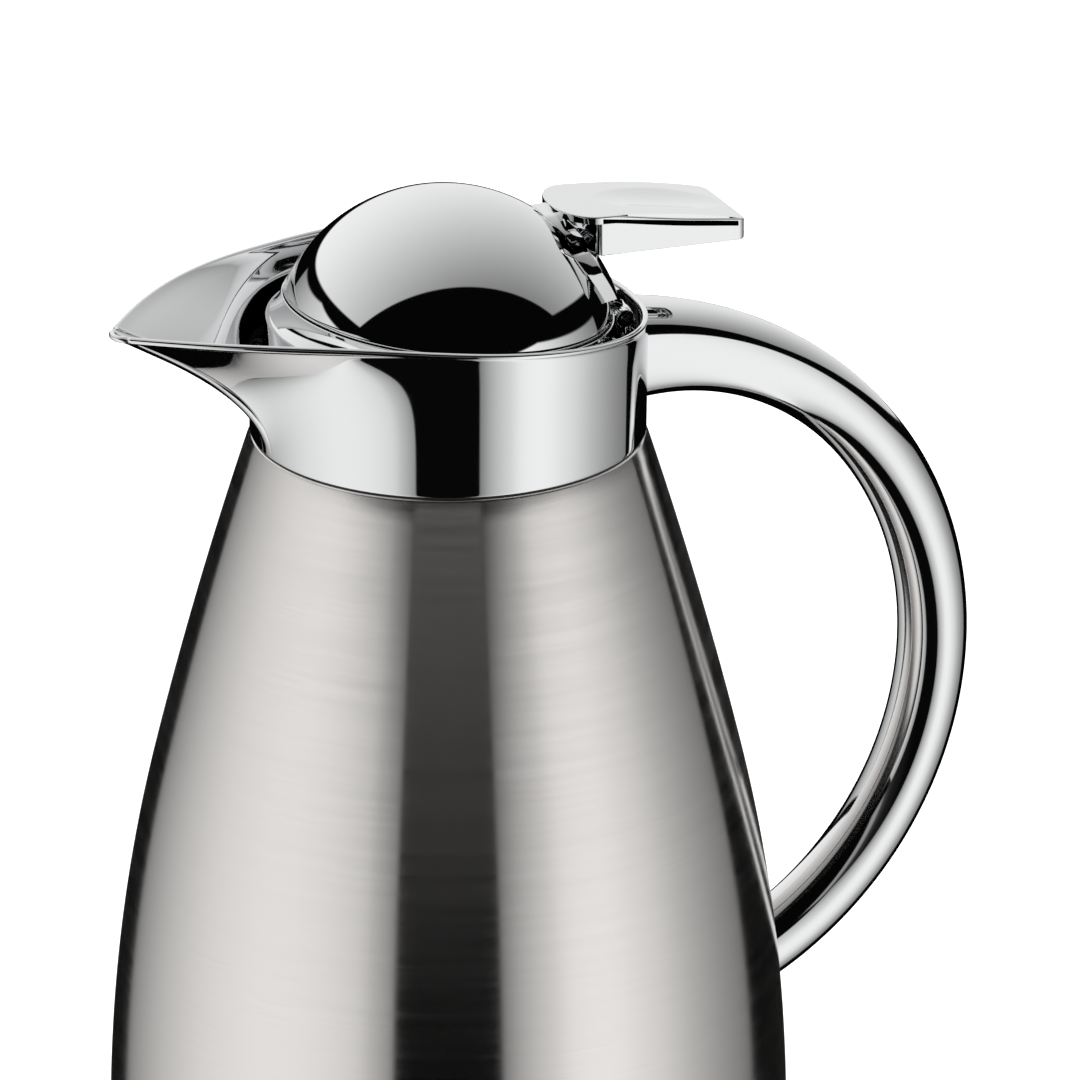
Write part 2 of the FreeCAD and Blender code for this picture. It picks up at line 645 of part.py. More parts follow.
seam_ring = turned(
    "seam_ring",
    [
        ("collar_flange_bore", "seam_height"),
        ("neck_radius - seam_inset", "seam_height"),
        ("neck_radius - seam_inset", COLLAR_FOOT),
        ("collar_flange_bore", COLLAR_FOOT),
    ],
)
drill(seam_ring, "seam_holes", around(3, "collar_screw_circle", COLLAR_HOLE), "seam_height - 1", "3")

RIM_CIRCLE = num("neck_radius + collar_flare")


def spout_plan(angle):
    """Rim radius in plan at an angle from +X: a circle, then an arched side, then the tip."""
    start_x = -num("spout_start")
    start = Vector(start_x, math.sqrt(RIM_CIRCLE**2 - start_x**2), 0)
    side_arc = num("spout_side_arc")
    side_centre = start - start * (side_arc / RIM_CIRCLE)
    tip_round = num("spout_tip_round")
    heading = Vector(math.cos(angle), abs(math.sin(angle)), 0)
    if math.atan2(heading.y, heading.x) <= math.atan2(start.y, start.x):
        return RIM_CIRCLE
    along = heading.dot(side_centre)
    side = along + math.sqrt(along**2 - side_centre.dot(side_centre) + side_arc**2)
    tip_centre_x = tip_round - num("spout_reach")
    off_line = abs(tip_centre_x) * abs(heading.y)
    if heading.x < 0 and off_line < tip_round:
        tip = abs(tip_centre_x) * abs(heading.x) + math.sqrt(tip_round**2 - off_line**2)
        # the tip's circle rounds off the point where the two sides would cross
        return min(side, tip) if tip < side else side
    return side


PLAN_ANGLES = [0, 20, 40, 60, 80, 95, 105, 115, 125, 134, 142, 149, 155, 160, 164, 168, 171, 174, 176, 178, 180]


def collar_section(height, inset):
    """Closed horizontal outline of the collar at a height above the seam."""
    rise = num("spout_rise")
    share = height / rise
    base = num("neck_radius") + num("collar_flare") * min(share, 1.0)
    keel_bulge = num("spout_reach") - RIM_CIRCLE
    keel_swell = num("keel_swell")
    side_swell = num("side_swell")
    points = []
    for degrees in PLAN_ANGLES + [-a for a in reversed(PLAN_ANGLES[1:-1])]:
        angle = math.radians(degrees)
        bulge = spout_plan(angle) - RIM_CIRCLE
        # the sides stay upright for longer than the keel does
        power = keel_swell + side_swell * (1 - bulge / keel_bulge)
        slope = power * bulge * share ** (power - 1) / rise
        radius = base + bulge * share**power - inset * math.sqrt(1 + slope**2)
        points.append(Vector(radius * math.cos(angle), radius * math.sin(angle), height + num("seam_height")))
    curve = Part.BSplineCurve()
    curve.interpolate(Points=points, PeriodicFlag=True)
    return Part.Wire([curve.toShape()])


def collar_block(foot, inset):
    top = num("rim_crest") + 4
    steps = 10
    heights = [foot + (top - foot) * i / steps for i in range(steps + 1)]
    return Part.makeLoft([collar_section(h, inset) for h in heights], True, False)


def rim_cutter():
    """Everything below the rim's arc: a wide drum lying across the jug."""
    centre = Vector(-num("rim_crest_reach"), -200, num("seam_height + rim_crest - rim_radius"))
    return Part.makeCylinder(num("rim_radius"), 400, centre, Y_AXIS)


collar_foot = num("seam_gap")
collar_outside = collar_block(collar_foot, 0.0)
collar_shape = collar_outside.cut(collar_block(collar_foot + num("collar_wall"), num("collar_wall")))
collar_shape = collar_shape.cut(
    Part.makeCylinder(num("collar_flange_bore"), 10, Vector(0, 0, num("seam_height") - 2))
)
collar_shape = collar_shape.common(rim_cutter())
for hole_angle in (60, 180, 300):
    spot = Vector(num("collar_screw_circle"), 0, num("seam_height") - 2)
    spot = FreeCAD.Rotation(Vector(0, 0, 1), hole_angle).multVec(spot)
    collar_shape = collar_shape.cut(Part.makeCylinder(num(COLLAR_HOLE), 6, spot))
top_screw_z = num("seam_height + top_screw_height")
screw_radius = num("handle_screw_radius")
collar_shape = collar_shape.cut(
    Part.makeCylinder(num(HANDLE_HOLE), 20, Vector(num("neck_radius") - 10, 0, top_screw_z), Vector(1, 0, 0))
)
collar_spout = feature("collar_spout", collar_shape.removeSplitter())

TRAY_RADIUS = "(neck_radius - collar_wall - tray_gap)"
TRAY_TOP = "(seam_height + tray_height)"
neck_liner = turned(
    "neck_liner",
    [
        ("mouth_radius + ledge_gap", LEDGE + " - tray_sheet"),
        (THROAT_RADIUS + " + skirt_gap", LEDGE + " - tray_sheet"),
        (THROAT_RADIUS + " + skirt_gap", LEDGE + " - tray_sheet - skirt_depth"),
        ("skirt_radius", LEDGE + " - tray_sheet - skirt_depth"),
        ("skirt_radius", TRAY_TOP + " - tray_sheet"),
        (TRAY_RADIUS, TRAY_TOP + " - tray_sheet"),
        (TRAY_RADIUS, TRAY_TOP + " + tray_sheet"),
        (TRAY_RADIUS + " - tray_lip", TRAY_TOP + " + tray_sheet"),
        (TRAY_RADIUS + " - 2 * tray_lip", TRAY_TOP),
        ("plug_bore", TRAY_TOP),
        ("plug_bore", LEDGE),
        ("mouth_radius + ledge_gap", LEDGE),
    ],
)
BOSS_FOOT = "(%s + collar_wall)" % COLLAR_FOOT
add_posts(
    neck_liner,
    "screw_bosses",
    around(3, "collar_screw_circle", "collar_boss_radius"),
    BOSS_FOOT,
    TRAY_TOP + " - " + BOSS_FOOT + " - 1",
)
drill(
    neck_liner,
    "boss_holes",
    around(3, "collar_screw_circle", "collar_screw_radius"),
    BOSS_FOOT + " - 1",
    "3 * screw_run_out",
)

collar_screws = feature(
    "collar_screws",
    ring_of(
        3,
        num("collar_screw_circle"),
        lambda spot: screw(
            spot + Vector(0, 0, num("seam_height - shell_wall - collar_head_height")),
            num("collar_head_radius"),
            num("collar_head_height"),
            num("collar_screw_radius"),
            num(BOSS_FOOT + " - seam_height + shell_wall + 2 * screw_run_out"),
        ),
    ),
)

# ---------------------------------------------------------------- handle

HANDLE_CENTRE = Vector(num("handle_centre_x"), 0, num("handle_centre_z"))
HANDLE_ARC = num("handle_arc")
ROOT_ANGLE = math.degrees(math.acos(num("root_offset") / HANDLE_ARC))
FOOT_ANGLE = -math.degrees(math.acos(num("belly_radius - handle_foot_inset - handle_centre_x") / HANDLE_ARC))
ROUND_ANGLE = 40.0


def handle_section(angle):
    """Cross-section across the handle's arc, fuller and squarer towards the collar."""
    fullness = max(0.0, (angle - ROUND_ANGLE) / (ROOT_ANGLE - ROUND_ANGLE)) ** num("root_ease")
    radius = num("handle_radius")
    tall = radius + (num("root_half_height") - radius) * fullness
    wide = radius + (num("root_half_width") - radius) * fullness
    power = 2.0 / (2.0 + num("root_squareness") * fullness)
    outward = Vector(math.cos(math.radians(angle)), 0, math.sin(math.radians(angle)))
    points = []
    for step in range(20):
        turn = math.radians(18 * step)
        cosine, sine = math.cos(turn), math.sin(turn)
        out = tall * math.copysign(abs(cosine) ** power, cosine)
        side = wide * math.copysign(abs(sine) ** power, sine)
        points.append(HANDLE_CENTRE + outward * (HANDLE_ARC + out) + Y_AXIS * side)
    curve = Part.BSplineCurve()
    curve.interpolate(Points=points, PeriodicFlag=True)
    return Part.Wire([curve.toShape()])


handle_angles = [ROOT_ANGLE + (ROUND_ANGLE - ROOT_ANGLE) * i / 4 for i in range(5)]
handle_angles += [ROUND_ANGLE + (FOOT_ANGLE - ROUND_ANGLE) * i / 6 for i in range(1, 7)]
handle_shape = Part.makeLoft([handle_section(a) for a in handle_angles], True, False)
jacket_foot = Vector(0, 0, num("shell_foot"))
jacket_top = Vector(0, 0, num("seam_height"))
jacket_outline = [Part.makeLine(jacket_foot, Vector(num(FOOT_RADIUS), 0, num("shell_foot")))]
flat_corners = [
    Vector(num(FOOT_RADIUS), num("shell_foot"), 0),
    Vector(num("belly_radius"), num("belly_height"), 0),
    Vector(num(JOIN_RADIUS), num(JOIN_HEIGHT), 0),
    Vector(num("neck_radius"), num("seam_height"), 0),
]
stand_up = FreeCAD.Placement(Vector(0, 0, 0), FreeCAD.Rotation(Vector(1, 0, 0), 90))
for start, end, radius in zip(flat_corners, flat_corners[1:], (FOOT_ARC, LOWER_ARC, UPPER_ARC)):
    edge = arc_between(start, end, num(radius)).toShape()
    edge.Placement = stand_up
    jacket_outline.append(edge)
jacket_outline.append(Part.makeLine(Vector(num("neck_radius"), 0, num("seam_height")), jacket_top))
jacket_outline.append(Part.makeLine(jacket_top, jacket_foot))
jacket_solid = Part.Face(Part.Wire(jacket_outline)).revolve(Vector(0, 0, 0), Vector(0, 0, 1), 360)
handle_shape = handle_shape.cut(jacket_solid).cut(collar_outside)
handle_shape = max(handle_shape.Solids, key=lambda solid: solid.Volume)
foot_screw_z = num("handle_foot_height")
top_screw_tip = num("neck_radius + top_grip")
foot_screw_tip = num("belly_radius + foot_grip")
for screw_z, tip in ((top_screw_z, top_screw_tip), (foot_screw_z, foot_screw_tip)):
    pilot_hole = Part.makeCylinder(screw_radius, tip, Vector(0, 0, screw_z), Vector(1, 0, 0))
    handle_shape = handle_shape.cut(pilot_hole)
handle = feature("handle", handle_shape)


def side_screw(face_x, height, head_radius, head_height, tip_x):
    """Screw along +X: the head ends at face_x, the shank runs on to tip_x."""
    head = Part.makeCylinder(head_radius, head_height, Vector(face_x - head_height, 0, height), Vector(1, 0, 0))
    shank = Part.makeCylinder(screw_radius, tip_x - face_x, Vector(face_x, 0, height), Vector(1, 0, 0))
    return head.fuse(shank).removeSplitter()


collar_inside = num("neck_radius - collar_wall")
handle_top_screw = feature(
    "handle_top_screw",
    side_screw(collar_inside, top_screw_z, num("top_head_radius"), num("top_head_height"), top_screw_tip),
)


def jacket_radius_at(height):
    """Jacket's outside radius on its lower side arc."""
    arc = num(LOWER_ARC)
    return num("belly_radius") - arc + math.sqrt(arc**2 - (height - num("belly_height")) ** 2)


washer_face = jacket_radius_at(foot_screw_z + num("washer_radius")) - num("shell_wall + washer_gap")
washer_back = washer_face - num("washer_sheet")
washer_spot = Vector(washer_back, 0, foot_screw_z)
washer_shape = Part.makeCylinder(num("washer_radius"), num("washer_sheet"), washer_spot, Vector(1, 0, 0))
washer_shape = washer_shape.cut(
    Part.makeCylinder(num(HANDLE_HOLE), 2 * num("washer_sheet"), washer_spot, Vector(1, 0, 0))
)
handle_foot_washer = feature("handle_foot_washer", washer_shape)
handle_foot_screw = feature(
    "handle_foot_screw",
    side_screw(washer_back, foot_screw_z, num("foot_head_radius"), num("foot_head_height"), foot_screw_tip),
)

# ---------------------------------------------------------------- stopper and closure ring

PLUG_RADIUS = "(plug_bore - plug_clearance)"
stopper_blank = turned(
    "stopper_blank",
    [
        ("tube_bore", PLUG_FOOT + " - tube_length"),
        ("stem_tube_radius", PLUG_FOOT + " - tube_length"),
        ("stem_tube_radius", PLUG_FOOT),
        (PLUG_RADIUS, PLUG_FOOT),
        (PLUG_RADIUS, FLANGE_FOOT),
        ("ring_radius + 3", FLANGE_FOOT),
        ("ring_radius + 3", FLANGE_TOP),
        ("tube_bore + seat_width", FLANGE_TOP),
        ("tube_bore + seat_width", SEAT_TOP),
        ("tube_bore", SEAT_TOP),
    ],
)
ring_core = doc.addObject("Part::Cylinder", "ring_core")
ring_core.setExpression("Radius", bound("ring_radius - ring_wall"))
ring_core.Height = 80
ring_core.Placement = tilted(0, -80)
stopper_body = doc.addObject("Part::Common", "stopper_body")
stopper_body.Base = stopper_blank
stopper_body.Tool = ring_core
stopper_body.Label = "stopper_body"
doc.recompute()

stopper_gasket = turned(
    "stopper_gasket",
    [
        ("stem_tube_radius", "flask_top - seal_depth - 3"),
        ("mouth_radius - mouth_gap", "flask_top - seal_depth - 2"),
        ("mouth_radius - mouth_gap", "flask_top - seal_depth - 1"),
        ("stem_tube_radius", "flask_top - seal_depth"),
    ],
)
seat_gasket = turned(
    "seat_gasket",
    [
        ("mouth_radius + ledge_gap + mouth_gap", PLUG_FOOT + " - plug_lift + mouth_gap"),
        (PLUG_RADIUS + " - 2 * mouth_gap", PLUG_FOOT + " - plug_lift + mouth_gap"),
        (PLUG_RADIUS + " - 2 * mouth_gap", PLUG_FOOT),
        ("mouth_radius + ledge_gap + mouth_gap", PLUG_FOOT),
    ],
)

EDGE_RADIUS = "sqrt(dome_radius * dome_radius - dome_drop * dome_drop)"
ring_blank = turned(
    "ring_blank",
    [
        ("ring_radius - ring_wall", "-ring_skirt"),
        ("ring_radius", "-ring_skirt"),
        ("ring_radius", "-ring_shoulder - 1"),
        ("ring_radius - ring_bead", "-ring_shoulder"),
        (EDGE_RADIUS + " + 0.3", "0"),
        (EDGE_RADIUS + " - 0.9", "0"),
        ("ring_radius - ring_wall", "-ring_shoulder - 1"),
    ],
    {2: (1, "ring_bead_arc"), 3: (-1, "ring_slope_arc")},
)
lean(ring_blank)
doc.recompute()


def along_y(radius, low, high, clearance=0.0):
    """Cylinder about the hinge axis."""
    spot = Vector(num(PIN_X), low, num(PIN_Z))
    return Part.makeCylinder(radius + clearance, high - low, spot, Y_AXIS)


KNUCKLE = num("knuckle_radius")
EAR_START = num("ear_start")
EAR_END = num("ear_start + ear_width")
ROOM = num("knuckle_room")
ring_shape = ring_blank.Shape.copy()
ring_shape = ring_shape.cut(Part.makeBox(120, 120, 60, Vector(-60, -60, num(FLANGE_FOOT) - 60)))
ring_shape = ring_shape.cut(along_y(KNUCKLE, -EAR_START, EAR_START, ROOM))
notch = Part.makeBox(10, 2 * EAR_START, 10, Vector(-KNUCKLE - ROOM, -EAR_START, 0))
notch.Placement = tilted(num("pin_reach"), -num("pin_drop")) * notch.Placement
ring_shape = ring_shape.cut(notch)
for low in (EAR_START, -EAR_END):
    ear = along_y(KNUCKLE, low, low + num("ear_width"))
    web = Part.makeBox(KNUCKLE, num("ear_width"), 9, Vector(-KNUCKLE, low, -9))
    web.Placement = tilted(num("pin_reach"), -num("pin_drop")) * web.Placement
    ring_shape = ring_shape.fuse(ear.fuse(web))
ring_shape = ring_shape.cut(along_y(num("pin_radius"), -30, 30, num("running_fit")))
window = Part.makeBox(
    30,
    num("2 * window_half_width"),
    num("window_height"),
    Vector(-num("ring_radius") - 18, -num("window_half_width"), num(FLANGE_TOP) + 0.2),
)
ring_shape = ring_shape.cut(window).removeSplitter()
closure_ring = feature("closure_ring", ring_shape)

PIN_END = num("pin_half_length")
hinge_pin = feature("hinge_pin", along_y(num("pin_radius"), -PIN_END, PIN_END))


def coil(radius, wire, height, turns, place):
    """Round-wire coil about +Z."""
    path = Part.makeHelix(height / turns, height, radius)
    section = Part.Wire([Part.makeCircle(wire, Vector(radius, 0, 0), Y_AXIS)])
    shape = Part.Wire(path.Edges).makePipeShell([section], True, True)
    shape.Placement = place
    return shape


HINGE_WIRE = num("hinge_wire")
coil_room = EAR_START - num("barrel_half_width") - 2 * HINGE_WIRE - 0.8
spring_start = Vector(num(PIN_X), num("barrel_half_width") + 0.4 + HINGE_WIRE, num(PIN_Z))
hinge_spring = feature(
    "hinge_spring",
    coil(
        KNUCKLE - HINGE_WIRE - 0.1,
        HINGE_WIRE,
        coil_room,
        3.0,
        FreeCAD.Placement(spring_start, FreeCAD.Rotation(Vector(1, 0, 0), -90)),
    ),
)

# ---------------------------------------------------------------- domed lid and thumb lever

SPHERE_CENTRE = Vector(num(DOME_CENTRE_X), 0, num(DOME_CENTRE_Z))
SCREW_LATITUDE = 38.0
SCREW_AZIMUTH = 9.0


def lid_screw_axis(side):
    latitude = math.radians(SCREW_LATITUDE)
    azimuth = math.radians(SCREW_AZIMUTH * side)
    flat = math.cos(latitude)
    return Vector(flat * math.cos(azimuth), flat * math.sin(azimuth), math.sin(latitude))


def radial(radius, start, end, side):
    """Cylinder pointing out from the dome's centre along a lid screw."""
    axis = lid_screw_axis(side)
    return Part.makeCylinder(radius, end - start, SPHERE_CENTRE + axis * start, axis)


dome_cap = doc.addObject("Part::Sphere", "dome_cap")
dome_cap.setExpression("Radius", bound("dome_radius"))
dome_cap.setExpression("Angle1", bound("asin((dome_drop + lid_gap) / dome_radius)"))
dome_cap.Placement = tilted(0, -num("dome_drop"))
dome_hollow = doc.addObject("Part::Sphere", "dome_hollow")
dome_hollow.setExpression("Radius", bound("dome_radius - dome_wall"))
dome_hollow.Placement = FreeCAD.Placement(SPHERE_CENTRE, FreeCAD.Rotation())
DOME = num("dome_radius")
DOME_INNER = num("dome_radius - dome_wall")
LEVER_HOLE = num("lever_screw_radius + screw_clearance / 2")
drills = [radial(LEVER_HOLE, DOME_INNER - 10, DOME + 10, side) for side in (-1, 1)]
dome_drills = feature("dome_drills", Part.makeCompound(drills))
dome_tools = doc.addObject("Part::MultiFuse", "dome_tools")
dome_tools.Shapes = [dome_hollow, dome_drills]
lid_dome = doc.addObject("Part::Cut", "lid_dome")
lid_dome.Base = dome_cap
lid_dome.Tool = dome_tools
lid_dome.Label = "lid_dome"
doc.recompute()

LINER_EDGE_LOW = "sqrt((dome_radius - dome_wall) ^ 2 - (%s - %s) ^ 2)" % (LINER_FLOOR, DOME_CENTRE_Z)
LINER_EDGE_HIGH = "sqrt((dome_radius - dome_wall) ^ 2 - (%s - %s) ^ 2)" % (LINER_TOP, DOME_CENTRE_Z)
STEM_BORE = "(stem_radius + running_fit)"
lid_liner = turned(
    "lid_liner",
    [
        (STEM_BORE, LINER_FLOOR),
        (LINER_EDGE_HIGH + " - 0.3", LINER_FLOOR),
        (LINER_EDGE_HIGH + " - 0.3", LINER_TOP),
        ("6", LINER_TOP),
        ("5", BOSS_TOP),
        (STEM_BORE, BOSS_TOP),
    ],
)
lid_liner.setExpression(".Placement.Base.x", bound(DOME_CENTRE_X))

LEVER_SCREW = num("lever_screw_radius")
LEVER_SCREW_END = num("dome_radius + lever_screw_hold")
HEAD_FACE = DOME_INNER - 0.1


def lever_screw(side):
    head = radial(num("lever_head_radius"), HEAD_FACE - num("lever_head_height"), HEAD_FACE, side)
    return head.fuse(radial(LEVER_SCREW, HEAD_FACE, LEVER_SCREW_END, side))


lever_screws = feature("lever_screws", Part.makeCompound([lever_screw(side) for side in (-1, 1)]))


def lever_drum(inset):
    """Drum across the jug whose crown is the thumb plate's top, lowered by inset."""
    radius = num("lever_arc") - inset
    centre = Vector(num("lever_crown_reach"), -100, num("seam_height + lever_crown - lever_arc"))
    return Part.makeCylinder(radius, 200, centre, Y_AXIS)


HALF = num("lever_width") / 2
SHEET = num("lever_sheet")
TAIL = num("lever_tail")
NOSE_LENGTH = num("lever_nose")


def lever_plan(inset, foot, height, front_closed):
    """Plan of the thumb plate: half-oval nose, straight sides, rounded tail corners."""
    nose_x = num("lever_front") + NOSE_LENGTH
    sides = Part.makeBox(TAIL - inset - nose_x, 2 * (HALF - inset), height, Vector(nose_x, inset - HALF, foot))
    upright = [edge for edge in sides.Edges if edge.Length > height - 0.01]
    corners = [edge for edge in upright if edge.CenterOfMass.x > nose_x + 1]
    sides = sides.makeFillet(max(num("tail_corner") - inset, 0.4), corners)
    if not front_closed:
        return sides
    nose = Part.makeCylinder(HALF - inset, height, Vector(0, 0, 0))
    squeeze = FreeCAD.Matrix()
    squeeze.scale((NOSE_LENGTH - inset) / (HALF - inset), 1, 1)
    nose = nose.transformGeometry(squeeze)
    nose.translate(Vector(nose_x, 0, foot))
    return sides.fuse(nose)


seam = num("seam_height")
skirt_low = seam + num("skirt_foot")
plan_foot = skirt_low - 10
lever_solid = lever_plan(0.0, plan_foot, 40, True).common(lever_drum(0.0))
fall = num("skirt_foot_fall")
span = TAIL - num("skirt_front")
under = Part.makePolygon(
    [
        Vector(0, -50, skirt_low),
        Vector(num("skirt_front"), -50, skirt_low),
        Vector(TAIL + 5, -50, skirt_low - fall * (span + 5) / span),
        Vector(TAIL + 5, -50, plan_foot - 5),
        Vector(0, -50, plan_foot - 5),
        Vector(0, -50, skirt_low),
    ]
)
lever_solid = lever_solid.cut(Part.Face(under).extrude(Vector(0, 100, 0)))
hollow = lever_plan(SHEET, plan_foot - 5, 45, True).common(lever_drum(SHEET))
lever_solid = lever_solid.cut(hollow)
nose_clear = Part.makeBox(num("skirt_front"), 60, 40, Vector(0, -30, plan_foot - 5)).common(lever_drum(SHEET))
lever_solid = lever_solid.cut(nose_clear)

saddle_outer = Part.makeSphere(DOME + num("saddle_sheet"), SPHERE_CENTRE)
saddle = saddle_outer.cut(Part.makeSphere(DOME, SPHERE_CENTRE)).common(lever_drum(0.2))
wide = num("saddle_half_width")
base_z = SPHERE_CENTRE.z
knee, neck = num("saddle_knee"), num("saddle_neck")
fan_points = [(wide, base_z), (wide, base_z + knee), (HALF, base_z + neck), (HALF, base_z + neck + 15)]
fan_edges = []
right = [Vector(10, y, z) for y, z in fan_points]
left = [Vector(10, -y, z) for y, z in fan_points]
fan_edges.append(Part.makeLine(left[0], right[0]))
fan_edges.append(Part.makeLine(right[0], right[1]))
bend = (wide - HALF) * 0.29
bend_z = base_z + knee + (neck - knee) * 2 / 3
knee_right = Vector(10, wide - bend, bend_z)
knee_left = Vector(10, bend - wide, bend_z)
fan_edges.append(Part.Arc(right[1], knee_right, right[2]).toShape())
fan_edges.append(Part.makeLine(right[2], right[3]))
fan_edges.append(Part.makeLine(right[3], left[3]))
fan_edges.append(Part.makeLine(left[3], left[2]))
fan_edges.append(Part.Arc(left[2], knee_left, left[1]).toShape())
fan_edges.append(Part.makeLine(left[1], left[0]))
fan = Part.Face(Part.Wire(fan_edges)).extrude(Vector(50, 0, 0))
above_crease = Part.makeBox(120, 120, 60, Vector(-60, -60, num("lid_gap") + 0.15))
above_crease.Placement = tilted() * above_crease.Placement
saddle = saddle.common(fan).common(above_crease)
lever_solid = lever_solid.cut(Part.makeSphere(DOME, SPHERE_CENTRE)).fuse(saddle)

BARREL = num("barrel_half_width")
barrel = along_y(KNUCKLE, -BARREL, BARREL)
tongue = Part.makeBox(2 * KNUCKLE - 0.6, 2 * BARREL, num("pin_drop") + 2.5, Vector(0.6 - KNUCKLE, -BARREL, 0))
tongue.Placement = tilted(num("pin_reach"), -num("pin_drop")) * tongue.Placement
tongue = tongue.cut(Part.makeSphere(DOME + 0.01, SPHERE_CENTRE)).common(
    Part.makeSphere(DOME + num("saddle_sheet") + 0.6, SPHERE_CENTRE)
)
lever_solid = lever_solid.fuse(tongue).fuse(barrel)
for side in (-1, 1):
    boss = radial(num("lever_boss_radius"), DOME + 1, LEVER_SCREW_END, side)
    lever_solid = lever_solid.fuse(boss.common(lever_drum(0.6)))
    lever_solid = lever_solid.cut(radial(LEVER_SCREW, DOME - 2, LEVER_SCREW_END, side))
lever_solid = lever_solid.cut(along_y(num("pin_radius"), -30, 30, num("running_fit")))

dimple_x = num("lever_tail - dimple_back")
dimple_top = seam + num("lever_crown - lever_arc") + math.sqrt(
    num("lever_arc") ** 2 - (dimple_x - num("lever_crown_reach")) ** 2
)
dimple_lean = math.degrees(math.asin((dimple_x - num("lever_crown_reach")) / num("lever_arc")))
dimple_ball = num("dimple_ball")
dimple = Part.makeSphere(dimple_ball)
stretch = FreeCAD.Matrix()
stretch.scale(num("dimple_half_length") / dimple_ball, num("dimple_half_width") / dimple_ball, 1)
dimple = dimple.transformGeometry(stretch)
dimple.Placement = FreeCAD.Placement(
    Vector(dimple_x, 0, dimple_top + dimple_ball - num("dimple_depth")), FreeCAD.Rotation(Y_AXIS, dimple_lean)
)
lever_solid = lever_solid.cut(dimple)
thumb_lever = feature("thumb_lever", max(lever_solid.Solids, key=lambda solid: solid.Volume))

# ---------------------------------------------------------------- sprung valve

seal_plate = turned(
    "seal_plate",
    [
        ("0", VALVE_FOOT),
        ("valve_radius", VALVE_FOOT),
        ("valve_radius", VALVE_TOP + " - 1"),
        ("valve_radius - 1", VALVE_TOP),
        ("stem_radius", VALVE_TOP),
        ("stem_radius", VALVE_TOP + " - stem_seat"),
        ("0", VALVE_TOP + " - stem_seat"),
    ],
)
seal_gasket = turned(
    "seal_gasket",
    [
        ("tube_bore - 1", GASKET_FOOT),
        ("valve_radius + 0.3", GASKET_FOOT),
        ("valve_radius + 0.3", VALVE_FOOT),
        ("tube_bore - 1", VALVE_FOOT),
    ],
)
seal_stem = turned(
    "seal_stem",
    [
        ("0", VALVE_TOP + " - stem_seat"),
        ("stem_radius", VALVE_TOP + " - stem_seat"),
        ("stem_radius", BOSS_TOP + " + 3"),
        ("stem_radius - 0.5", BOSS_TOP + " + 3.5"),
        ("0", BOSS_TOP + " + 3.5"),
    ],
)
stem_clip = turned(
    "stem_clip",
    [
        ("stem_radius", BOSS_TOP + " + clip_gap"),
        ("stem_radius + 2.4", BOSS_TOP + " + clip_gap"),
        ("stem_radius + 2.4", BOSS_TOP + " + clip_gap + 1"),
        ("stem_radius", BOSS_TOP + " + clip_gap + 1"),
    ],
)
wire = num("valve_spring_wire")
seal_spring = feature(
    "seal_spring",
    coil(
        num("valve_spring_radius"),
        wire,
        num(LINER_FLOOR) - num(VALVE_TOP) - 2 * wire - 0.6,
        5.0,
        FreeCAD.Placement(Vector(num(DOME_CENTRE_X), 0, num(VALVE_TOP) + wire + 0.1), FreeCAD.Rotation()),
    ),
)
for piece in (seal_plate, seal_gasket, seal_stem, stem_clip):
    piece.setExpression(".Placement.Base.x", bound(DOME_CENTRE_X))
doc.recompute()

# ---------------------------------------------------------------- check and write

nodes = [
    outer_shell, base_cover, foot_ring, base_bracket, base_screws, flask_cradle,
    flask_outer_wall, flask_inner_wall, neck_gasket, seam_ring, collar_spout, neck_liner,
    collar_screws, handle, handle_top_screw, handle_foot_washer, handle_foot_screw,
    stopper_body, stopper_gasket, seat_gasket, closure_ring, hinge_pin, hinge_spring,
    lid_dome, lid_liner, thumb_lever, lever_screws,
    seal_plate, seal_gasket, seal_stem, stem_clip, seal_spring,
]
for item in doc.Objects:
    if {"Invalid", "Error"} & set(item.State):
        raise ValueError("%s did not compute: %s" % (item.Label, item.State))
for item in nodes:
    if item.Shape.isNull() or not item.Shape.isValid() or not item.Shape.Solids:
        raise ValueError("%s has no valid solid" % item.Label)
os.makedirs("parts", exist_ok=True)
for item in nodes:
    item.Shape.exportStep("parts/%s.step" % item.Label)
print("%d nodes written" % len(nodes))
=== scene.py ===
import bmesh
import bpy
import json
import math
from mathutils import Matrix, Vector


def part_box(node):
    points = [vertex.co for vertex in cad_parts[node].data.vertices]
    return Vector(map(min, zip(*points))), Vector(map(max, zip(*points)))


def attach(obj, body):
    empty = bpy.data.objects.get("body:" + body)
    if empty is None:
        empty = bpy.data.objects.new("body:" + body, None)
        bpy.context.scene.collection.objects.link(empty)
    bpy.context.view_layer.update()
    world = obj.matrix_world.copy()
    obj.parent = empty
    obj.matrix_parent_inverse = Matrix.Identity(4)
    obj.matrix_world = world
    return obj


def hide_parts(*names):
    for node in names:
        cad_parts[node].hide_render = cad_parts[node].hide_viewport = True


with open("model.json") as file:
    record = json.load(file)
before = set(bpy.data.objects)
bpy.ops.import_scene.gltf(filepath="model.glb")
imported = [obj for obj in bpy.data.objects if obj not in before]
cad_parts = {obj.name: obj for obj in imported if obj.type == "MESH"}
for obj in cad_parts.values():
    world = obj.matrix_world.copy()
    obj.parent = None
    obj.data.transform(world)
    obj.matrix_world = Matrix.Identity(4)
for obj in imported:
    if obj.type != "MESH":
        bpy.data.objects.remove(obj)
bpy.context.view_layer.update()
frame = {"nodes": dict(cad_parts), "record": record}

# Camera. A long lens a little above the lid, looking down across the jug from the
# spout's side, so that the jug's upright lines stay parallel.
MM = 0.001
VIEW_AZIMUTH = math.radians(-25.0)
VIEW_ELEVATION = math.radians(21.5)
PICTURE_WIDTH = 252.3 * MM
LENS = 1500.0
SENSOR = 36.0
AIM_RIGHT = 21.5 * MM
AIM_DOWN = 26.1 * MM

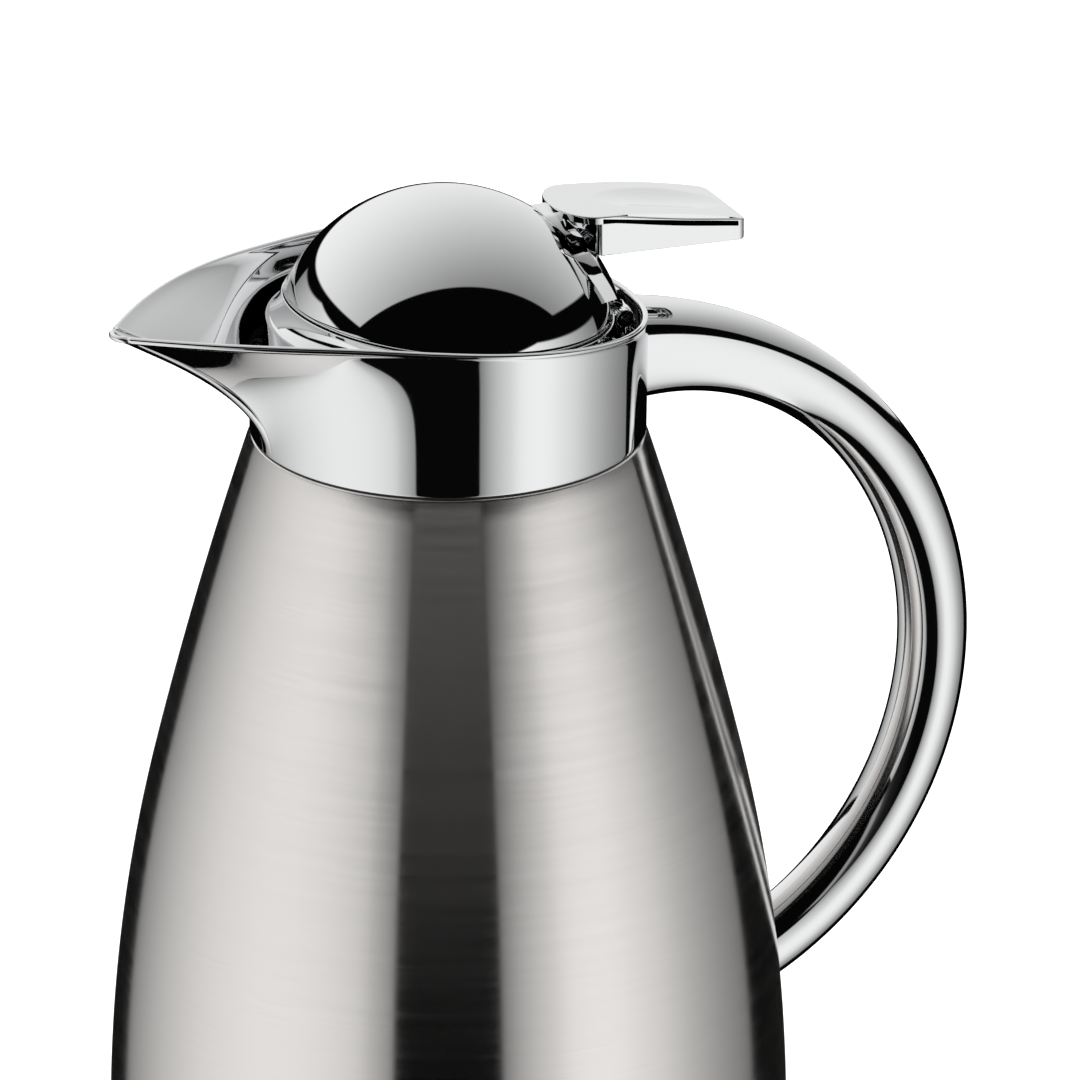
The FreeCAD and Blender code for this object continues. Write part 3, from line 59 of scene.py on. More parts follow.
seam_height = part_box("outer_shell")[1].z / MM
across = Vector((math.cos(VIEW_AZIMUTH), math.sin(VIEW_AZIMUTH), 0))
toward = Vector((math.sin(VIEW_AZIMUTH), -math.cos(VIEW_AZIMUTH), 0))
back = toward * math.cos(VIEW_ELEVATION) + Vector((0, 0, math.sin(VIEW_ELEVATION)))
upward = back.cross(across)
aim = Vector((0, 0, seam_height * MM)) + across * AIM_RIGHT - upward * AIM_DOWN
camera_data = bpy.data.cameras.new("camera")
camera_data.lens = LENS
camera_data.sensor_width = SENSOR
camera_data.clip_end = 100
camera = bpy.data.objects.new("camera", camera_data)
camera.location = aim + back * (PICTURE_WIDTH * LENS / SENSOR)
camera.rotation_euler = back.to_track_quat("Z", "Y").to_euler()
bpy.context.scene.collection.objects.link(camera)
bpy.context.scene.camera = camera
bpy.context.scene.view_settings.view_transform = "Standard"

# Studio. Two tall soft panels left and right with a dark gap between them and a wide soft
# roof over the jug, tilted towards the left: bright metal shows nothing else.
PANEL_GAP = 18.6
PANEL_FOOT = -84.0
EDGE_SOFTNESS = 0.7
LEFT_END, LEFT_TOP, LEFT_BEND, LEFT_FALL = 143.0, 19.0, 107.0, 0.35
RIGHT_END, RIGHT_TOP, RIGHT_BEND, RIGHT_FALL = 127.0, 16.0, 70.0, 0.28
CORNER_START, CORNER_CUT = 10.5, 5.0
LEFT_GLOW = [
    (0.0, 0.36), (0.06, 0.66), (0.14, 0.98), (0.33, 1.13), (0.53, 1.04), (0.72, 0.8), (0.91, 0.47), (1.0, 0.3)
]
RIGHT_GLOW = [(0.0, 0.26), (0.16, 0.88), (0.32, 1.19), (0.49, 1.03), (0.71, 0.62), (0.83, 0.44), (1.0, 0.26)]
ROOF_FRONT, ROOF_SKEW = 0.42, -0.20
ROOF_LEFT, ROOF_LEFT_REAR = 0.50, 0.14
ROOF_RIGHT, ROOF_RIGHT_REAR = 0.41, 0.29
ROOF_SOFTNESS = 0.012
ROOF_MIDDLE, ROOF_TO_REAR, ROOF_TO_LEFT = 0.595, 0.50, 0.31
DARK_GLOW = 0.002
STRAY_GLOW = [(0.0, 0.001), (0.35, 0.006), (0.65, 0.03), (0.76, 0.09), (0.80, 0.26), (0.90, 0.36), (1.0, 0.0)]
STRAY_FOOT, STRAY_TOP, STRAY_SOFTNESS = -10.0, 20.0, 2.0


class NodeTree:
    """A material's or the studio's node tree, built line by line."""

    def __init__(self, tree):
        self.tree = tree
        self.tree.nodes.clear()

    def add(self, kind, **settings):
        node = self.tree.nodes.new(kind)
        for name, value in settings.items():
            setattr(node, name, value)
        return node

    def feed(self, socket, value):
        if isinstance(value, bpy.types.NodeSocket):
            self.tree.links.new(value, socket)
        elif value is not None:
            socket.default_value = value

    def math(self, operation, first, second=None, third=None):
        node = self.add("ShaderNodeMath", operation=operation)
        for socket, value in zip(node.inputs, (first, second, third)):
            self.feed(socket, value)
        return node.outputs[0]

    def dot(self, vector, direction):
        node = self.add("ShaderNodeVectorMath", operation="DOT_PRODUCT")
        self.feed(node.inputs[0], vector)
        self.feed(node.inputs[1], tuple(direction))
        return node.outputs["Value"]

    def ramp(self, value, stops):
        """Grey ramp with smooth steps through (place, brightness) stops."""
        node = self.add("ShaderNodeFloatCurve")
        curve = node.mapping.curves[0]
        top = max(brightness for place, brightness in stops)
        node.mapping.use_clip = True
        curve.points[0].location = (stops[0][0], stops[0][1] / top)
        curve.points[1].location = (stops[-1][0], stops[-1][1] / top)
        for place, brightness in stops[1:-1]:
            curve.points.new(place, brightness / top)
        node.mapping.update()
        self.feed(node.inputs["Value"], value)
        return self.math("MULTIPLY", node.outputs[0], top)

    def above(self, value, limit, softness):
        """0 below the limit, 1 above it, smooth across the softness."""
        node = self.add("ShaderNodeMapRange", interpolation_type="SMOOTHSTEP", clamp=True)
        self.feed(node.inputs["Value"], value)
        self.feed(node.inputs["From Min"], self.math("SUBTRACT", limit, softness))
        self.feed(node.inputs["From Max"], self.math("ADD", limit, softness))
        return node.outputs[0]


world = bpy.data.worlds.new("studio")
bpy.context.scene.world = world
world.use_nodes = True
studio = NodeTree(world.node_tree)
direction = studio.add("ShaderNodeTexCoord").outputs["Generated"]
right_part = studio.dot(direction, across)
front_part = studio.dot(direction, toward)
height_part = studio.dot(direction, (0, 0, 1))
turn = studio.math("MULTIPLY", studio.math("ARCTAN2", right_part, front_part), math.degrees(1))
rise = studio.math("MULTIPLY", studio.math("ARCSINE", height_part), math.degrees(1))
over_foot = studio.above(rise, PANEL_FOOT, EDGE_SOFTNESS)


def panel_light(signed_turn, end, glow, top, bend, fall):
    """One panel: from the gap round to its end, its upper corner at the gap cut off and its top
    edge falling away behind the bend."""
    past_corner = studio.math("MAXIMUM", studio.math("SUBTRACT", rise, CORNER_START), 0.0)
    gap_edge = studio.math("ADD", studio.math("MULTIPLY", past_corner, CORNER_CUT), PANEL_GAP)
    inside = studio.above(signed_turn, gap_edge, EDGE_SOFTNESS)
    outside = studio.math("SUBTRACT", 1.0, studio.above(signed_turn, end, EDGE_SOFTNESS))
    past_bend = studio.math("MAXIMUM", studio.math("SUBTRACT", signed_turn, bend), 0.0)
    top_edge = studio.math("SUBTRACT", top, studio.math("MULTIPLY", past_bend, fall))
    under_top = studio.math("SUBTRACT", 1.0, studio.above(rise, top_edge, EDGE_SOFTNESS))
    upright = studio.math("MULTIPLY", under_top, over_foot)
    share = studio.math("DIVIDE", studio.math("SUBTRACT", signed_turn, PANEL_GAP), end - PANEL_GAP)
    shine = studio.ramp(studio.math("MINIMUM", studio.math("MAXIMUM", share, 0.0), 1.0), glow)
    lit = studio.math("MULTIPLY", studio.math("MULTIPLY", inside, outside), upright)
    return studio.math("MULTIPLY", lit, shine)


def slope(height_share, right_share, front_share):
    """A flat edge seen from the jug: a weighted sum of up, right and front."""
    up = studio.math("MULTIPLY", height_part, height_share)
    right = studio.math("MULTIPLY", right_part, right_share)
    return studio.math("ADD", studio.math("ADD", up, right), studio.math("MULTIPLY", front_part, front_share))


left_turn = studio.math("MULTIPLY", turn, -1.0)
right_light = panel_light(turn, RIGHT_END, RIGHT_GLOW, RIGHT_TOP, RIGHT_BEND, RIGHT_FALL)
left_light = panel_light(left_turn, LEFT_END, LEFT_GLOW, LEFT_TOP, LEFT_BEND, LEFT_FALL)
behind_front = studio.above(slope(ROOF_FRONT, ROOF_SKEW, -1.0), 0.0, ROOF_SOFTNESS)
over_right, over_left = slope(1.0, -ROOF_RIGHT, -ROOF_RIGHT_REAR), slope(1.0, ROOF_LEFT, -ROOF_LEFT_REAR)
over_sides = studio.math("MINIMUM", over_right, over_left)
roof_mask = studio.math("MULTIPLY", behind_front, studio.above(over_sides, 0.0, ROOF_SOFTNESS))
roof_shine = studio.math("ADD", slope(0.0, -ROOF_TO_LEFT, -ROOF_TO_REAR), ROOF_MIDDLE)
roof_light = studio.math("MULTIPLY", roof_mask, roof_shine)
# a little light strays into the gap, most of it near the panels' tops
stray_share = studio.math("DIVIDE", studio.math("SUBTRACT", rise, STRAY_FOOT), STRAY_TOP - STRAY_FOOT)
stray_share = studio.math("MINIMUM", studio.math("MAXIMUM", stray_share, 0.0), 1.0)
in_gap = studio.math("SUBTRACT", 1.0, studio.above(studio.math("ABSOLUTE", turn), PANEL_GAP, STRAY_SOFTNESS))
stray_light = studio.math("MULTIPLY", in_gap, studio.ramp(stray_share, STRAY_GLOW))
panels = studio.math("MAXIMUM", studio.math("MAXIMUM", left_light, right_light), stray_light)
glow = studio.math("ADD", studio.math("MAXIMUM", panels, roof_light), DARK_GLOW)
tinted = studio.add("ShaderNodeBackground")
studio.feed(tinted.inputs["Strength"], glow)
plain = studio.add("ShaderNodeBackground")
plain.inputs["Color"].default_value = (1, 1, 1, 1)
plain.inputs["Strength"].default_value = 1.0
seen = studio.add("ShaderNodeLightPath").outputs["Is Camera Ray"]
choice = studio.add("ShaderNodeMixShader")
studio.feed(choice.inputs[0], seen)
studio.feed(choice.inputs[1], tinted.outputs[0])
studio.feed(choice.inputs[2], plain.outputs[0])
studio.feed(studio.add("ShaderNodeOutputWorld").inputs[0], choice.outputs[0])

# Floor and its light. A wide pale table and one large soft lamp over it, which lights
# matt surfaces only.
FLOOR_SIZE = 60.0
FLOOR_COLOUR = (0.86, 0.86, 0.855, 1)
LAMP_SPOT = (0.3, 0.4, 1.6)
LAMP_SIZE = 1.8
LAMP_POWER = 62.0


def link(obj):
    bpy.context.scene.collection.objects.link(obj)
    return obj


def new_material(name):
    material = bpy.data.materials.new(name)
    material.use_nodes = True
    nodes = NodeTree(material.node_tree)
    shader = nodes.add("ShaderNodeBsdfPrincipled")
    nodes.feed(nodes.add("ShaderNodeOutputMaterial").inputs[0], shader.outputs[0])
    return material, nodes, shader


floor_mesh = bpy.data.meshes.new("floor")
half = FLOOR_SIZE / 2
corners = [(-half, -half, 0), (half, -half, 0), (half, half, 0), (-half, half, 0)]
floor_mesh.from_pydata(corners, [], [(0, 1, 2, 3)])
floor = link(bpy.data.objects.new("floor", floor_mesh))
paint, nodes, shader = new_material("table_paint")
shader.inputs["Roughness"].default_value = 0.9
shader.inputs["Base Color"].default_value = FLOOR_COLOUR
shader.inputs["Specular IOR Level"].default_value = 0.1
floor_mesh.materials.append(paint)
floor.visible_glossy = False
lamp_data = bpy.data.lights.new("lamp", "AREA")
lamp_data.size = LAMP_SIZE
lamp_data.energy = LAMP_POWER
lamp = link(bpy.data.objects.new("lamp", lamp_data))
lamp.location = LAMP_SPOT
lamp.rotation_euler = Vector(LAMP_SPOT).to_track_quat("Z", "Y").to_euler()
lamp.visible_glossy = False
lamp.visible_camera = False

# Jacket. One deep-drawn stainless sheet from the foot to the shoulder, spun to shape,
# brushed round the body to a satin finish, with a rolled foot and a pressed-in neck flange.
BELLY_HEIGHT = 20.0
JACKET_SHEET = 1.0
FOOT_TUCK = 2.2
SHOULDER_ROUND = 0.9
SHOULDER_FULLNESS = 1.63
JOIN_SHARE = 0.75
FLANGE_BORE = 36.0
NECK_RADIUS = 46.4
AROUND = 288

belly_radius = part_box("outer_shell")[1].x / MM
shell_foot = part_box("outer_shell")[0].z / MM
side_rise = seam_height - BELLY_HEIGHT
side_inset = belly_radius - NECK_RADIUS
neck_lean = SHOULDER_FULLNESS * math.atan(side_inset / side_rise)
join_lean = JOIN_SHARE * neck_lean
low_sine, low_cosine = math.sin(join_lean), 1 - math.cos(join_lean)
high_sine = math.sin(neck_lean) - math.sin(join_lean)
high_cosine = math.cos(join_lean) - math.cos(neck_lean)
arc_cross = low_sine * high_cosine - high_sine * low_cosine
lower_arc = (side_rise * high_cosine - side_inset * high_sine) / arc_cross
upper_arc = (side_inset * low_sine - side_rise * low_cosine) / arc_cross
foot_rise = BELLY_HEIGHT - shell_foot
foot_arc = (foot_rise**2 + FOOT_TUCK**2) / (2 * FOOT_TUCK)


def jacket_side(lean, inset=0.0):
    """Point of the jacket's side where it leans by that much; negative leans are below the belly."""
    if lean <= 0:
        radius = belly_radius - foot_arc * (1 - math.cos(lean))
        height = BELLY_HEIGHT + foot_arc * math.sin(lean)
    elif lean <= join_lean:
        radius = belly_radius - lower_arc * (1 - math.cos(lean))
        height = BELLY_HEIGHT + lower_arc * math.sin(lean)
    else:
        radius = belly_radius - lower_arc * low_cosine - upper_arc * (math.cos(join_lean) - math.cos(lean))
        height = BELLY_HEIGHT + lower_arc * low_sine + upper_arc * (math.sin(lean) - math.sin(join_lean))
    return radius - inset * math.cos(lean), height - inset * math.sin(lean)


def steps(low, high, count):
    return [low + (high - low) * i / count for i in range(count + 1)]


def bow(radius_to, height_to, size, start, end, count):
    """Points of a round corner about a centre, angles in degrees from outward, upwards positive."""
    angles = [math.radians(a) for a in steps(start, end, count)]
    return [(radius_to + size * math.cos(a), height_to + size * math.sin(a)) for a in angles]


def wound(slices):
    """A closed skin through closed slices that run round and meet again."""
    size = len(slices[0])
    points = [tuple(spot) for one in slices for spot in one]
    faces = []
    for i in range(len(slices)):
        here, following = i * size, (i + 1) % len(slices) * size
        for k in range(size):
            after = (k + 1) % size
            faces.append((here + k, following + k, following + after, here + after))
    return points, faces


def spun(outline, count=AROUND):
    """A closed outline of (radius, height) turned about the upright axis."""
    slices = []
    for i in range(count):
        angle = 2 * math.pi * i / count
        cosine, sine = math.cos(angle), math.sin(angle)
        slices.append([(radius * cosine, radius * sine, height) for radius, height in outline])
    return wound(slices)


def piece(name, shapes, material, body, replaced, place=None, weld=0.0005):
    """One visible piece from (points, faces) shapes in millimetres, riding on its body."""
    build = bmesh.new()
    for points, faces in shapes:
        verts = [build.verts.new(point) for point in points]
        for face in faces:
            corners = [verts[i] for i in face]
            if len(set(corners)) > 2:
                build.faces.new(corners)
    bmesh.ops.remove_doubles(build, verts=build.verts, dist=weld)
    bmesh.ops.recalc_face_normals(build, faces=build.faces)
    if place:
        build.transform(place)
    build.transform(Matrix.Scale(MM, 4))
    mesh = bpy.data.meshes.new(name)
    build.to_mesh(mesh)
    build.free()
    mesh.polygons.foreach_set("use_smooth", [True] * len(mesh.polygons))
    mesh.materials.append(material)
    obj = link(bpy.data.objects.new(name, mesh))
    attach(obj, body)
    if replaced:
        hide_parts(*replaced)
    return obj


def soft_edges(obj, angle=35.0):
    """Keeps flat faces flat and round ones round where they meet."""
    for edge in obj.data.edges:
        edge.use_edge_sharp = False
    obj.data.set_sharp_from_angle(angle=math.radians(angle))
    even = obj.modifiers.new("even_shading", "WEIGHTED_NORMAL")
    even.keep_sharp = True
    even.weight = 60


SATIN_DARK = (0.79, 0.766, 0.744, 1)
SATIN_PALE = (0.87, 0.845, 0.82, 1)
satin_steel, nodes, shader = new_material("satin_steel")
shader.inputs["Metallic"].default_value = 1.0
shader.inputs["Anisotropic"].default_value = 0.95
shader.inputs["Anisotropic Rotation"].default_value = 0.25
tangent = nodes.add("ShaderNodeTangent", direction_type="RADIAL", axis="Z")
nodes.feed(shader.inputs["Tangent"], tangent.outputs[0])
place = nodes.add("ShaderNodeTexCoord").outputs["Object"]


def stretched_noise(nodes, place, stretch, detail=3.0, roughness=0.6):
    mapping = nodes.add("ShaderNodeMapping")
    nodes.feed(mapping.inputs["Vector"], place)
    mapping.inputs["Scale"].default_value = stretch
    noise = nodes.add("ShaderNodeTexNoise")
    nodes.feed(noise.inputs["Vector"], mapping.outputs[0])
    noise.inputs["Scale"].default_value = 1.0
    noise.inputs["Detail"].default_value = detail
    noise.inputs["Roughness"].default_value = roughness
    return noise.outputs["Fac"]


def spread(nodes, value, low, high):
    node = nodes.add("ShaderNodeMapRange")
    nodes.feed(node.inputs["Value"], value)
    node.inputs["From Min"].default_value = 0.3
    node.inputs["From Max"].default_value = 0.7
    node.inputs["To Min"].default_value = low
    node.inputs["To Max"].default_value = high
    return node.outputs[0]


# brush lines run round the body: short repeats in height, long ones along the sheet
fine_lines = stretched_noise(nodes, place, (60, 60, 2600))
broad_lines = stretched_noise(nodes, place, (14, 14, 420))
both_lines = nodes.math("ADD", fine_lines, nodes.math("MULTIPLY", broad_lines, 0.5))
brushed_colour = nodes.add("ShaderNodeMix", data_type="RGBA")
brushed_colour.inputs[6].default_value = SATIN_DARK
brushed_colour.inputs[7].default_value = SATIN_PALE
nodes.feed(brushed_colour.inputs[0], spread(nodes, both_lines, 0.1, 0.7))
nodes.feed(shader.inputs["Base Color"], brushed_colour.outputs[2])
nodes.feed(shader.inputs["Roughness"], spread(nodes, broad_lines, 0.15, 0.20))
bump = nodes.add("ShaderNodeBump")
bump.inputs["Strength"].default_value = 0.16
bump.inputs["Distance"].default_value = 0.00002
nodes.feed(bump.inputs["Height"], both_lines)
nodes.feed(shader.inputs["Normal"], bump.outputs[0])

foot_lean = -math.asin(foot_rise / foot_arc)
shoulder_radius = jacket_side(neck_lean, SHOULDER_ROUND)[0]
leans = steps(foot_lean, 0, 14)[:-1] + steps(0, join_lean, 60)[:-1] + steps(join_lean, neck_lean, 30)
outer_side = [jacket_side(lean) for lean in leans]
outer_side = [spot for spot in outer_side if spot[1] < seam_height - SHOULDER_ROUND * 1.3]
inner_side = [jacket_side(lean, JACKET_SHEET) for lean in reversed(leans[::4])]
inner_low, inner_high = shell_foot + JACKET_SHEET, seam_height - 3 * JACKET_SHEET
inner_side = [spot for spot in inner_side if inner_low < spot[1] < inner_high]
roll = JACKET_SHEET / 2
foot_radius = outer_side[0][0]
shoulder = bow(shoulder_radius, seam_height - SHOULDER_ROUND, SHOULDER_ROUND, math.degrees(neck_lean), 90, 8)
jacket_outline = (
    bow(foot_radius - roll, shell_foot + roll, roll, 180, 350, 10)
    + outer_side[2:]
    + shoulder
    + [(FLANGE_BORE, seam_height), (FLANGE_BORE, seam_height - JACKET_SHEET)]
    + [(NECK_RADIUS - 2 * JACKET_SHEET, seam_height - JACKET_SHEET)]
    + inner_side
)
piece("jacket", [spun(jacket_outline)], satin_steel, "jug", ["outer_shell"])

# Collar and spout. A drawn steel collar that swells into a long open spout, with its
# rim rolled to a round bead; polished to a mirror and screwed down on the jacket's flange.
COLLAR_SHEET = 1.2
COLLAR_FLARE = 0.6
RIM_ARC = 480.0
RIM_CREST = 37.9
RIM_CREST_REACH = 52.0
SPOUT_SIDE_ARC = 190.0
SPOUT_START = 14.0
SPOUT_TIP_ROUND = 4.5
SPOUT_RISE = 37.0
SPOUT_SWELL = 1.8
SWELL_GROWTH = 3.6
SPOUT_REACH = 87.5
COLLAR_FLANGE_BORE = 37.0
BEAD = 0.8
BEAD_PROUD = 0.3
FOOT_ROUND = 0.45
BEAD_BLEND = 6.0

collar_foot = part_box("collar_spout")[0].z / MM - seam_height
rim_circle = NECK_RADIUS + COLLAR_FLARE


def spout_plan(angle):
    """Rim radius in plan at an angle from the handle: a circle, an arched side, then the tip."""
    start = Vector((-SPOUT_START, math.sqrt(rim_circle**2 - SPOUT_START**2)))
    centre = start * (1 - SPOUT_SIDE_ARC / rim_circle)
    heading = Vector((math.cos(angle), abs(math.sin(angle))))
    if math.atan2(heading.y, heading.x) <= math.atan2(start.y, start.x):
        return rim_circle
    along = heading.dot(centre)
    side = along + math.sqrt(along**2 - centre.length_squared + SPOUT_SIDE_ARC**2)
    tip_centre = SPOUT_REACH - SPOUT_TIP_ROUND
    off_line = tip_centre * abs(heading.y)
    if heading.x < 0 and off_line < SPOUT_TIP_ROUND:
        return min(side, tip_centre * abs(heading.x) + math.sqrt(SPOUT_TIP_ROUND**2 - off_line**2))
    return side


def collar_point(angle, height):
    """The collar's outside at an angle and a height above the seam."""
    share = max(height, 0.0) / SPOUT_RISE
    bulge = spout_plan(angle) - rim_circle
    # the sides stay upright for longer than the keel under the spout does
    swell = SPOUT_SWELL + SWELL_GROWTH * (1 - bulge / (SPOUT_REACH - rim_circle))
    radius = NECK_RADIUS + COLLAR_FLARE * min(share, 1.0) + bulge * share**swell
    return Vector((radius * math.cos(angle), radius * math.sin(angle), seam_height + height))


def rim_height(angle):
    """Where the rim's long arc, seen from the side, cuts the collar."""
    height = SPOUT_RISE
    for i in range(25):
        reach = collar_point(angle, height).x + RIM_CREST_REACH
        height = RIM_CREST - RIM_ARC + math.sqrt(RIM_ARC**2 - reach**2)
    return height


def collar_frame(angle, height):
    """Point, outward direction and upward direction on the collar."""
    small, small_turn = 0.02, 0.02 / 60
    spot = collar_point(angle, height)
    side = collar_point(angle + small_turn, height) - collar_point(angle - small_turn, height)
    rising = (collar_point(angle, height + small) - collar_point(angle, height - small)).normalized()
    return spot, side.cross(rising).normalized(), rising


def collar_slice(angle):
    """The sheet's closed outline in one upright plane through the axis."""
    rim = rim_height(angle)
    foot_out = collar_frame(angle, collar_foot)[1]
    flat = Vector((foot_out.x, foot_out.y, 0)).normalized()
    ray = Vector((math.cos(angle), math.sin(angle), 0))
    bottom = seam_height + collar_foot
    outline = [ray * COLLAR_FLANGE_BORE + Vector((0, 0, bottom))]
    for turn_step in steps(-90, 0, 5):
        lift = math.radians(turn_step)
        spot = collar_point(angle, collar_foot)
        out = flat * (FOOT_ROUND * (math.cos(lift) - 1))
        outline.append(spot + out + Vector((0, 0, FOOT_ROUND * (1 + math.sin(lift)))))
    wall_top = rim - 2.4 * BEAD
    for height in steps(collar_foot + 2 * FOOT_ROUND, wall_top, 44):
        spot, out, up = collar_frame(angle, height)
        drawn = max(0.0, min(1.0, (height - wall_top + BEAD_BLEND) / BEAD_BLEND))
        outline.append(spot - out * BEAD_PROUD * drawn**2)
    spot, out, up = collar_frame(angle, rim)
    heart = spot - out * BEAD - up * BEAD
    for turn_step in steps(-48, 214, 22):
        lift = math.radians(turn_step)
        outline.append(heart + out * (BEAD * math.cos(lift)) + up * (BEAD * math.sin(lift)))
    for height in steps(rim - 2.2 * BEAD, collar_foot + 2.6 * COLLAR_SHEET, 30):
        spot, out, up = collar_frame(angle, height)
        outline.append(spot - out * COLLAR_SHEET)
    inner = NECK_RADIUS - COLLAR_SHEET
    outline.append(ray * (inner - COLLAR_SHEET) + Vector((0, 0, bottom + COLLAR_SHEET)))
    outline.append(ray * COLLAR_FLANGE_BORE + Vector((0, 0, bottom + COLLAR_SHEET)))
    return outline


# stations crowd together towards the spout's tip
half_turn = steps(0, 112, 56)[:-1] + steps(112, 160, 64)[:-1] + steps(160, 174, 40)[:-1] + steps(174, 180, 30)
whole_turn = half_turn + [-a for a in reversed(half_turn[1:-1])]


def mirror_finish(name, colour, haze_low, haze_high, ripple=0.02):
    """Polished metal: a trace of haze left by the mop and the faintest ripple."""
    material, nodes, shader = new_material(name)
    shader.inputs["Metallic"].default_value = 1.0
    shader.inputs["Base Color"].default_value = colour
    place = nodes.add("ShaderNodeTexCoord").outputs["Object"]
    haze = stretched_noise(nodes, place, (45, 45, 45), detail=5.0)
    mop = stretched_noise(nodes, place, (900, 900, 160), detail=2.0)
    both = nodes.math("MULTIPLY", haze, nodes.math("ADD", 0.6, nodes.math("MULTIPLY", mop, 0.8)))
    nodes.feed(shader.inputs["Roughness"], spread(nodes, both, haze_low, haze_high))
    bump = nodes.add("ShaderNodeBump")
    bump.inputs["Strength"].default_value = ripple
    bump.inputs["Distance"].default_value = 0.0001
    nodes.feed(bump.inputs["Height"], stretched_noise(nodes, place, (70, 70, 70), detail=1.0))
    nodes.feed(shader.inputs["Normal"], bump.outputs[0])
    return material


CHROME = (0.88, 0.885, 0.89, 1)
collar_steel = mirror_finish("collar_polish", CHROME, 0.02, 0.05)
collar_slices = [collar_slice(math.radians(a)) for a in whole_turn]
collar = piece("collar", [wound(collar_slices)], collar_steel, "jug", ["collar_spout"])

# Handle. A bent and plated round bar, drawn out fuller and squarer where it meets the
# collar; screwed from inside at both ends, so that it leaves the metal with no visible joint.
HANDLE_CENTRE = Vector((42.5, 0, seam_height - 69.98))
HANDLE_ARC = 82.985
HANDLE_RADIUS = 8.25
ROOT_HALF_HEIGHT = 12.6
ROOT_HALF_WIDTH = 12.0
ROOT_ANGLE = 93.0
ROUND_ANGLE = 40.0
ROOT_SQUARENESS = 0.8
ROOT_GROWTH = 1.8
ROOT_SEARCH = (112.0, 60.0)
FOOT_SEARCH = (-80.0, -25.0)
HANDLE_SIDES = 72
HANDLE_STATIONS = 150


def handle_point(angle, turning):
    """Point of the handle's skin at an angle of its arc and a turn about its centre line."""
    fullness = max(0.0, (angle - ROUND_ANGLE) / (ROOT_ANGLE - ROUND_ANGLE)) ** ROOT_GROWTH
    tall = HANDLE_RADIUS + (ROOT_HALF_HEIGHT - HANDLE_RADIUS) * fullness
    wide = HANDLE_RADIUS + (ROOT_HALF_WIDTH - HANDLE_RADIUS) * fullness
    power = 2.0 / (2.0 + ROOT_SQUARENESS * fullness)
    cosine, sine = math.cos(turning), math.sin(turning)
    out = tall * math.copysign(abs(cosine) ** power, cosine)
    side = wide * math.copysign(abs(sine) ** power, sine)
    heading = Vector((math.cos(math.radians(angle)), 0, math.sin(math.radians(angle))))
    return HANDLE_CENTRE + heading * (HANDLE_ARC + out) + Vector((0, side, 0))


def jacket_radius(height):
    """The jacket's outside radius at a height."""
    low, high = foot_lean, neck_lean
    for i in range(40):
        middle = (low + high) / 2
        if jacket_side(middle)[1] < height:
            low = middle
        else:
            high = middle
    return jacket_side(low)[0]


def meeting_angle(turning, inside, outside, surface):
    """Where one line of the handle's skin meets the jug's sheet."""
    for i in range(40):
        middle = (inside + outside) / 2
        spot = handle_point(middle, turning)
        if math.hypot(spot.x, spot.y) < surface(spot):
            inside = middle
        else:
            outside = middle
    return inside


handle_lines = []
for k in range(HANDLE_SIDES):
    turning = 2 * math.pi * k / HANDLE_SIDES
    top = meeting_angle(turning, *ROOT_SEARCH, lambda spot: NECK_RADIUS - COLLAR_SHEET / 2)
    low = meeting_angle(turning, *FOOT_SEARCH, lambda spot: jacket_radius(spot.z) - JACKET_SHEET / 2)
    handle_lines.append([handle_point(a, turning) for a in steps(top, low, HANDLE_STATIONS)])


def tube(lines):
    """A skin through side-by-side lines, closed at both ends."""
    size = len(lines[0])
    points = [tuple(spot) for line in lines for spot in line]
    faces = []
    for i in range(len(lines)):
        here, following = i * size, (i + 1) % len(lines) * size
        for k in range(size - 1):
            faces.append((here + k, following + k, following + k + 1, here + k + 1))
    faces.append([i * size for i in range(len(lines))])
    faces.append([i * size + size - 1 for i in range(len(lines))])
    return points, faces


handle_chrome = mirror_finish("handle_plating", CHROME, 0.03, 0.07, ripple=0.03)
handle = piece("handle_bar", [tube(handle_lines)], handle_chrome, "jug", ["handle"])

# Closure ring. A turned steel ring that leans with the lid, with a rolled shoulder under
# the dome's edge, a window to the spout and two knuckles for the hinge at the back.
LEAN = math.radians(5.5)
CREASE = 31.2
RING_RADIUS = 42.3
RING_WALL = 1.4
RING_SHOULDER = 5.2
RING_FOOT = 13.0
EDGE_RADIUS = 38.78
PIN_REACH = 41.0
PIN_DROP = 2.6
KNUCKLE_RADIUS = 2.2
EAR_START = 8.6
EAR_WIDTH = 2.6
WINDOW_HALF_WIDTH = 13.0
WINDOW_LOW = 15.7
WINDOW_HIGH = 21.0
WINDOW_REACH = (-60.0, -30.0)
KNUCKLE_ROOM = 2.8
NOTCH_SIZE = 8.0
WEB_DEPTH = 8.0
WEB_INSET = 0.15
RING_BEAD = 0.9
LIP_ROUND = 0.25
RING_EDGE_ROUND = 0.3

leaning = Matrix.Translation((0, 0, seam_height + CREASE)) @ Matrix.Rotation(LEAN, 4, "Y")


def between(start, end, size, side, count):
    """Points on an arc of that radius from start to end; side +1 bulges left, -1 right."""
    a, b = Vector(start), Vector(end)
    half_chord = (b - a).length / 2
    normal = Vector((-(b - a).y, (b - a).x)).normalized() * side
    centre = (a + b) / 2 - normal * math.sqrt(size**2 - half_chord**2)
    first, last = a - centre, b - centre
    sweep = first.angle_signed(last)
    return [tuple(centre + Matrix.Rotation(-sweep * share, 2) @ first) for share in steps(0, 1, count)]


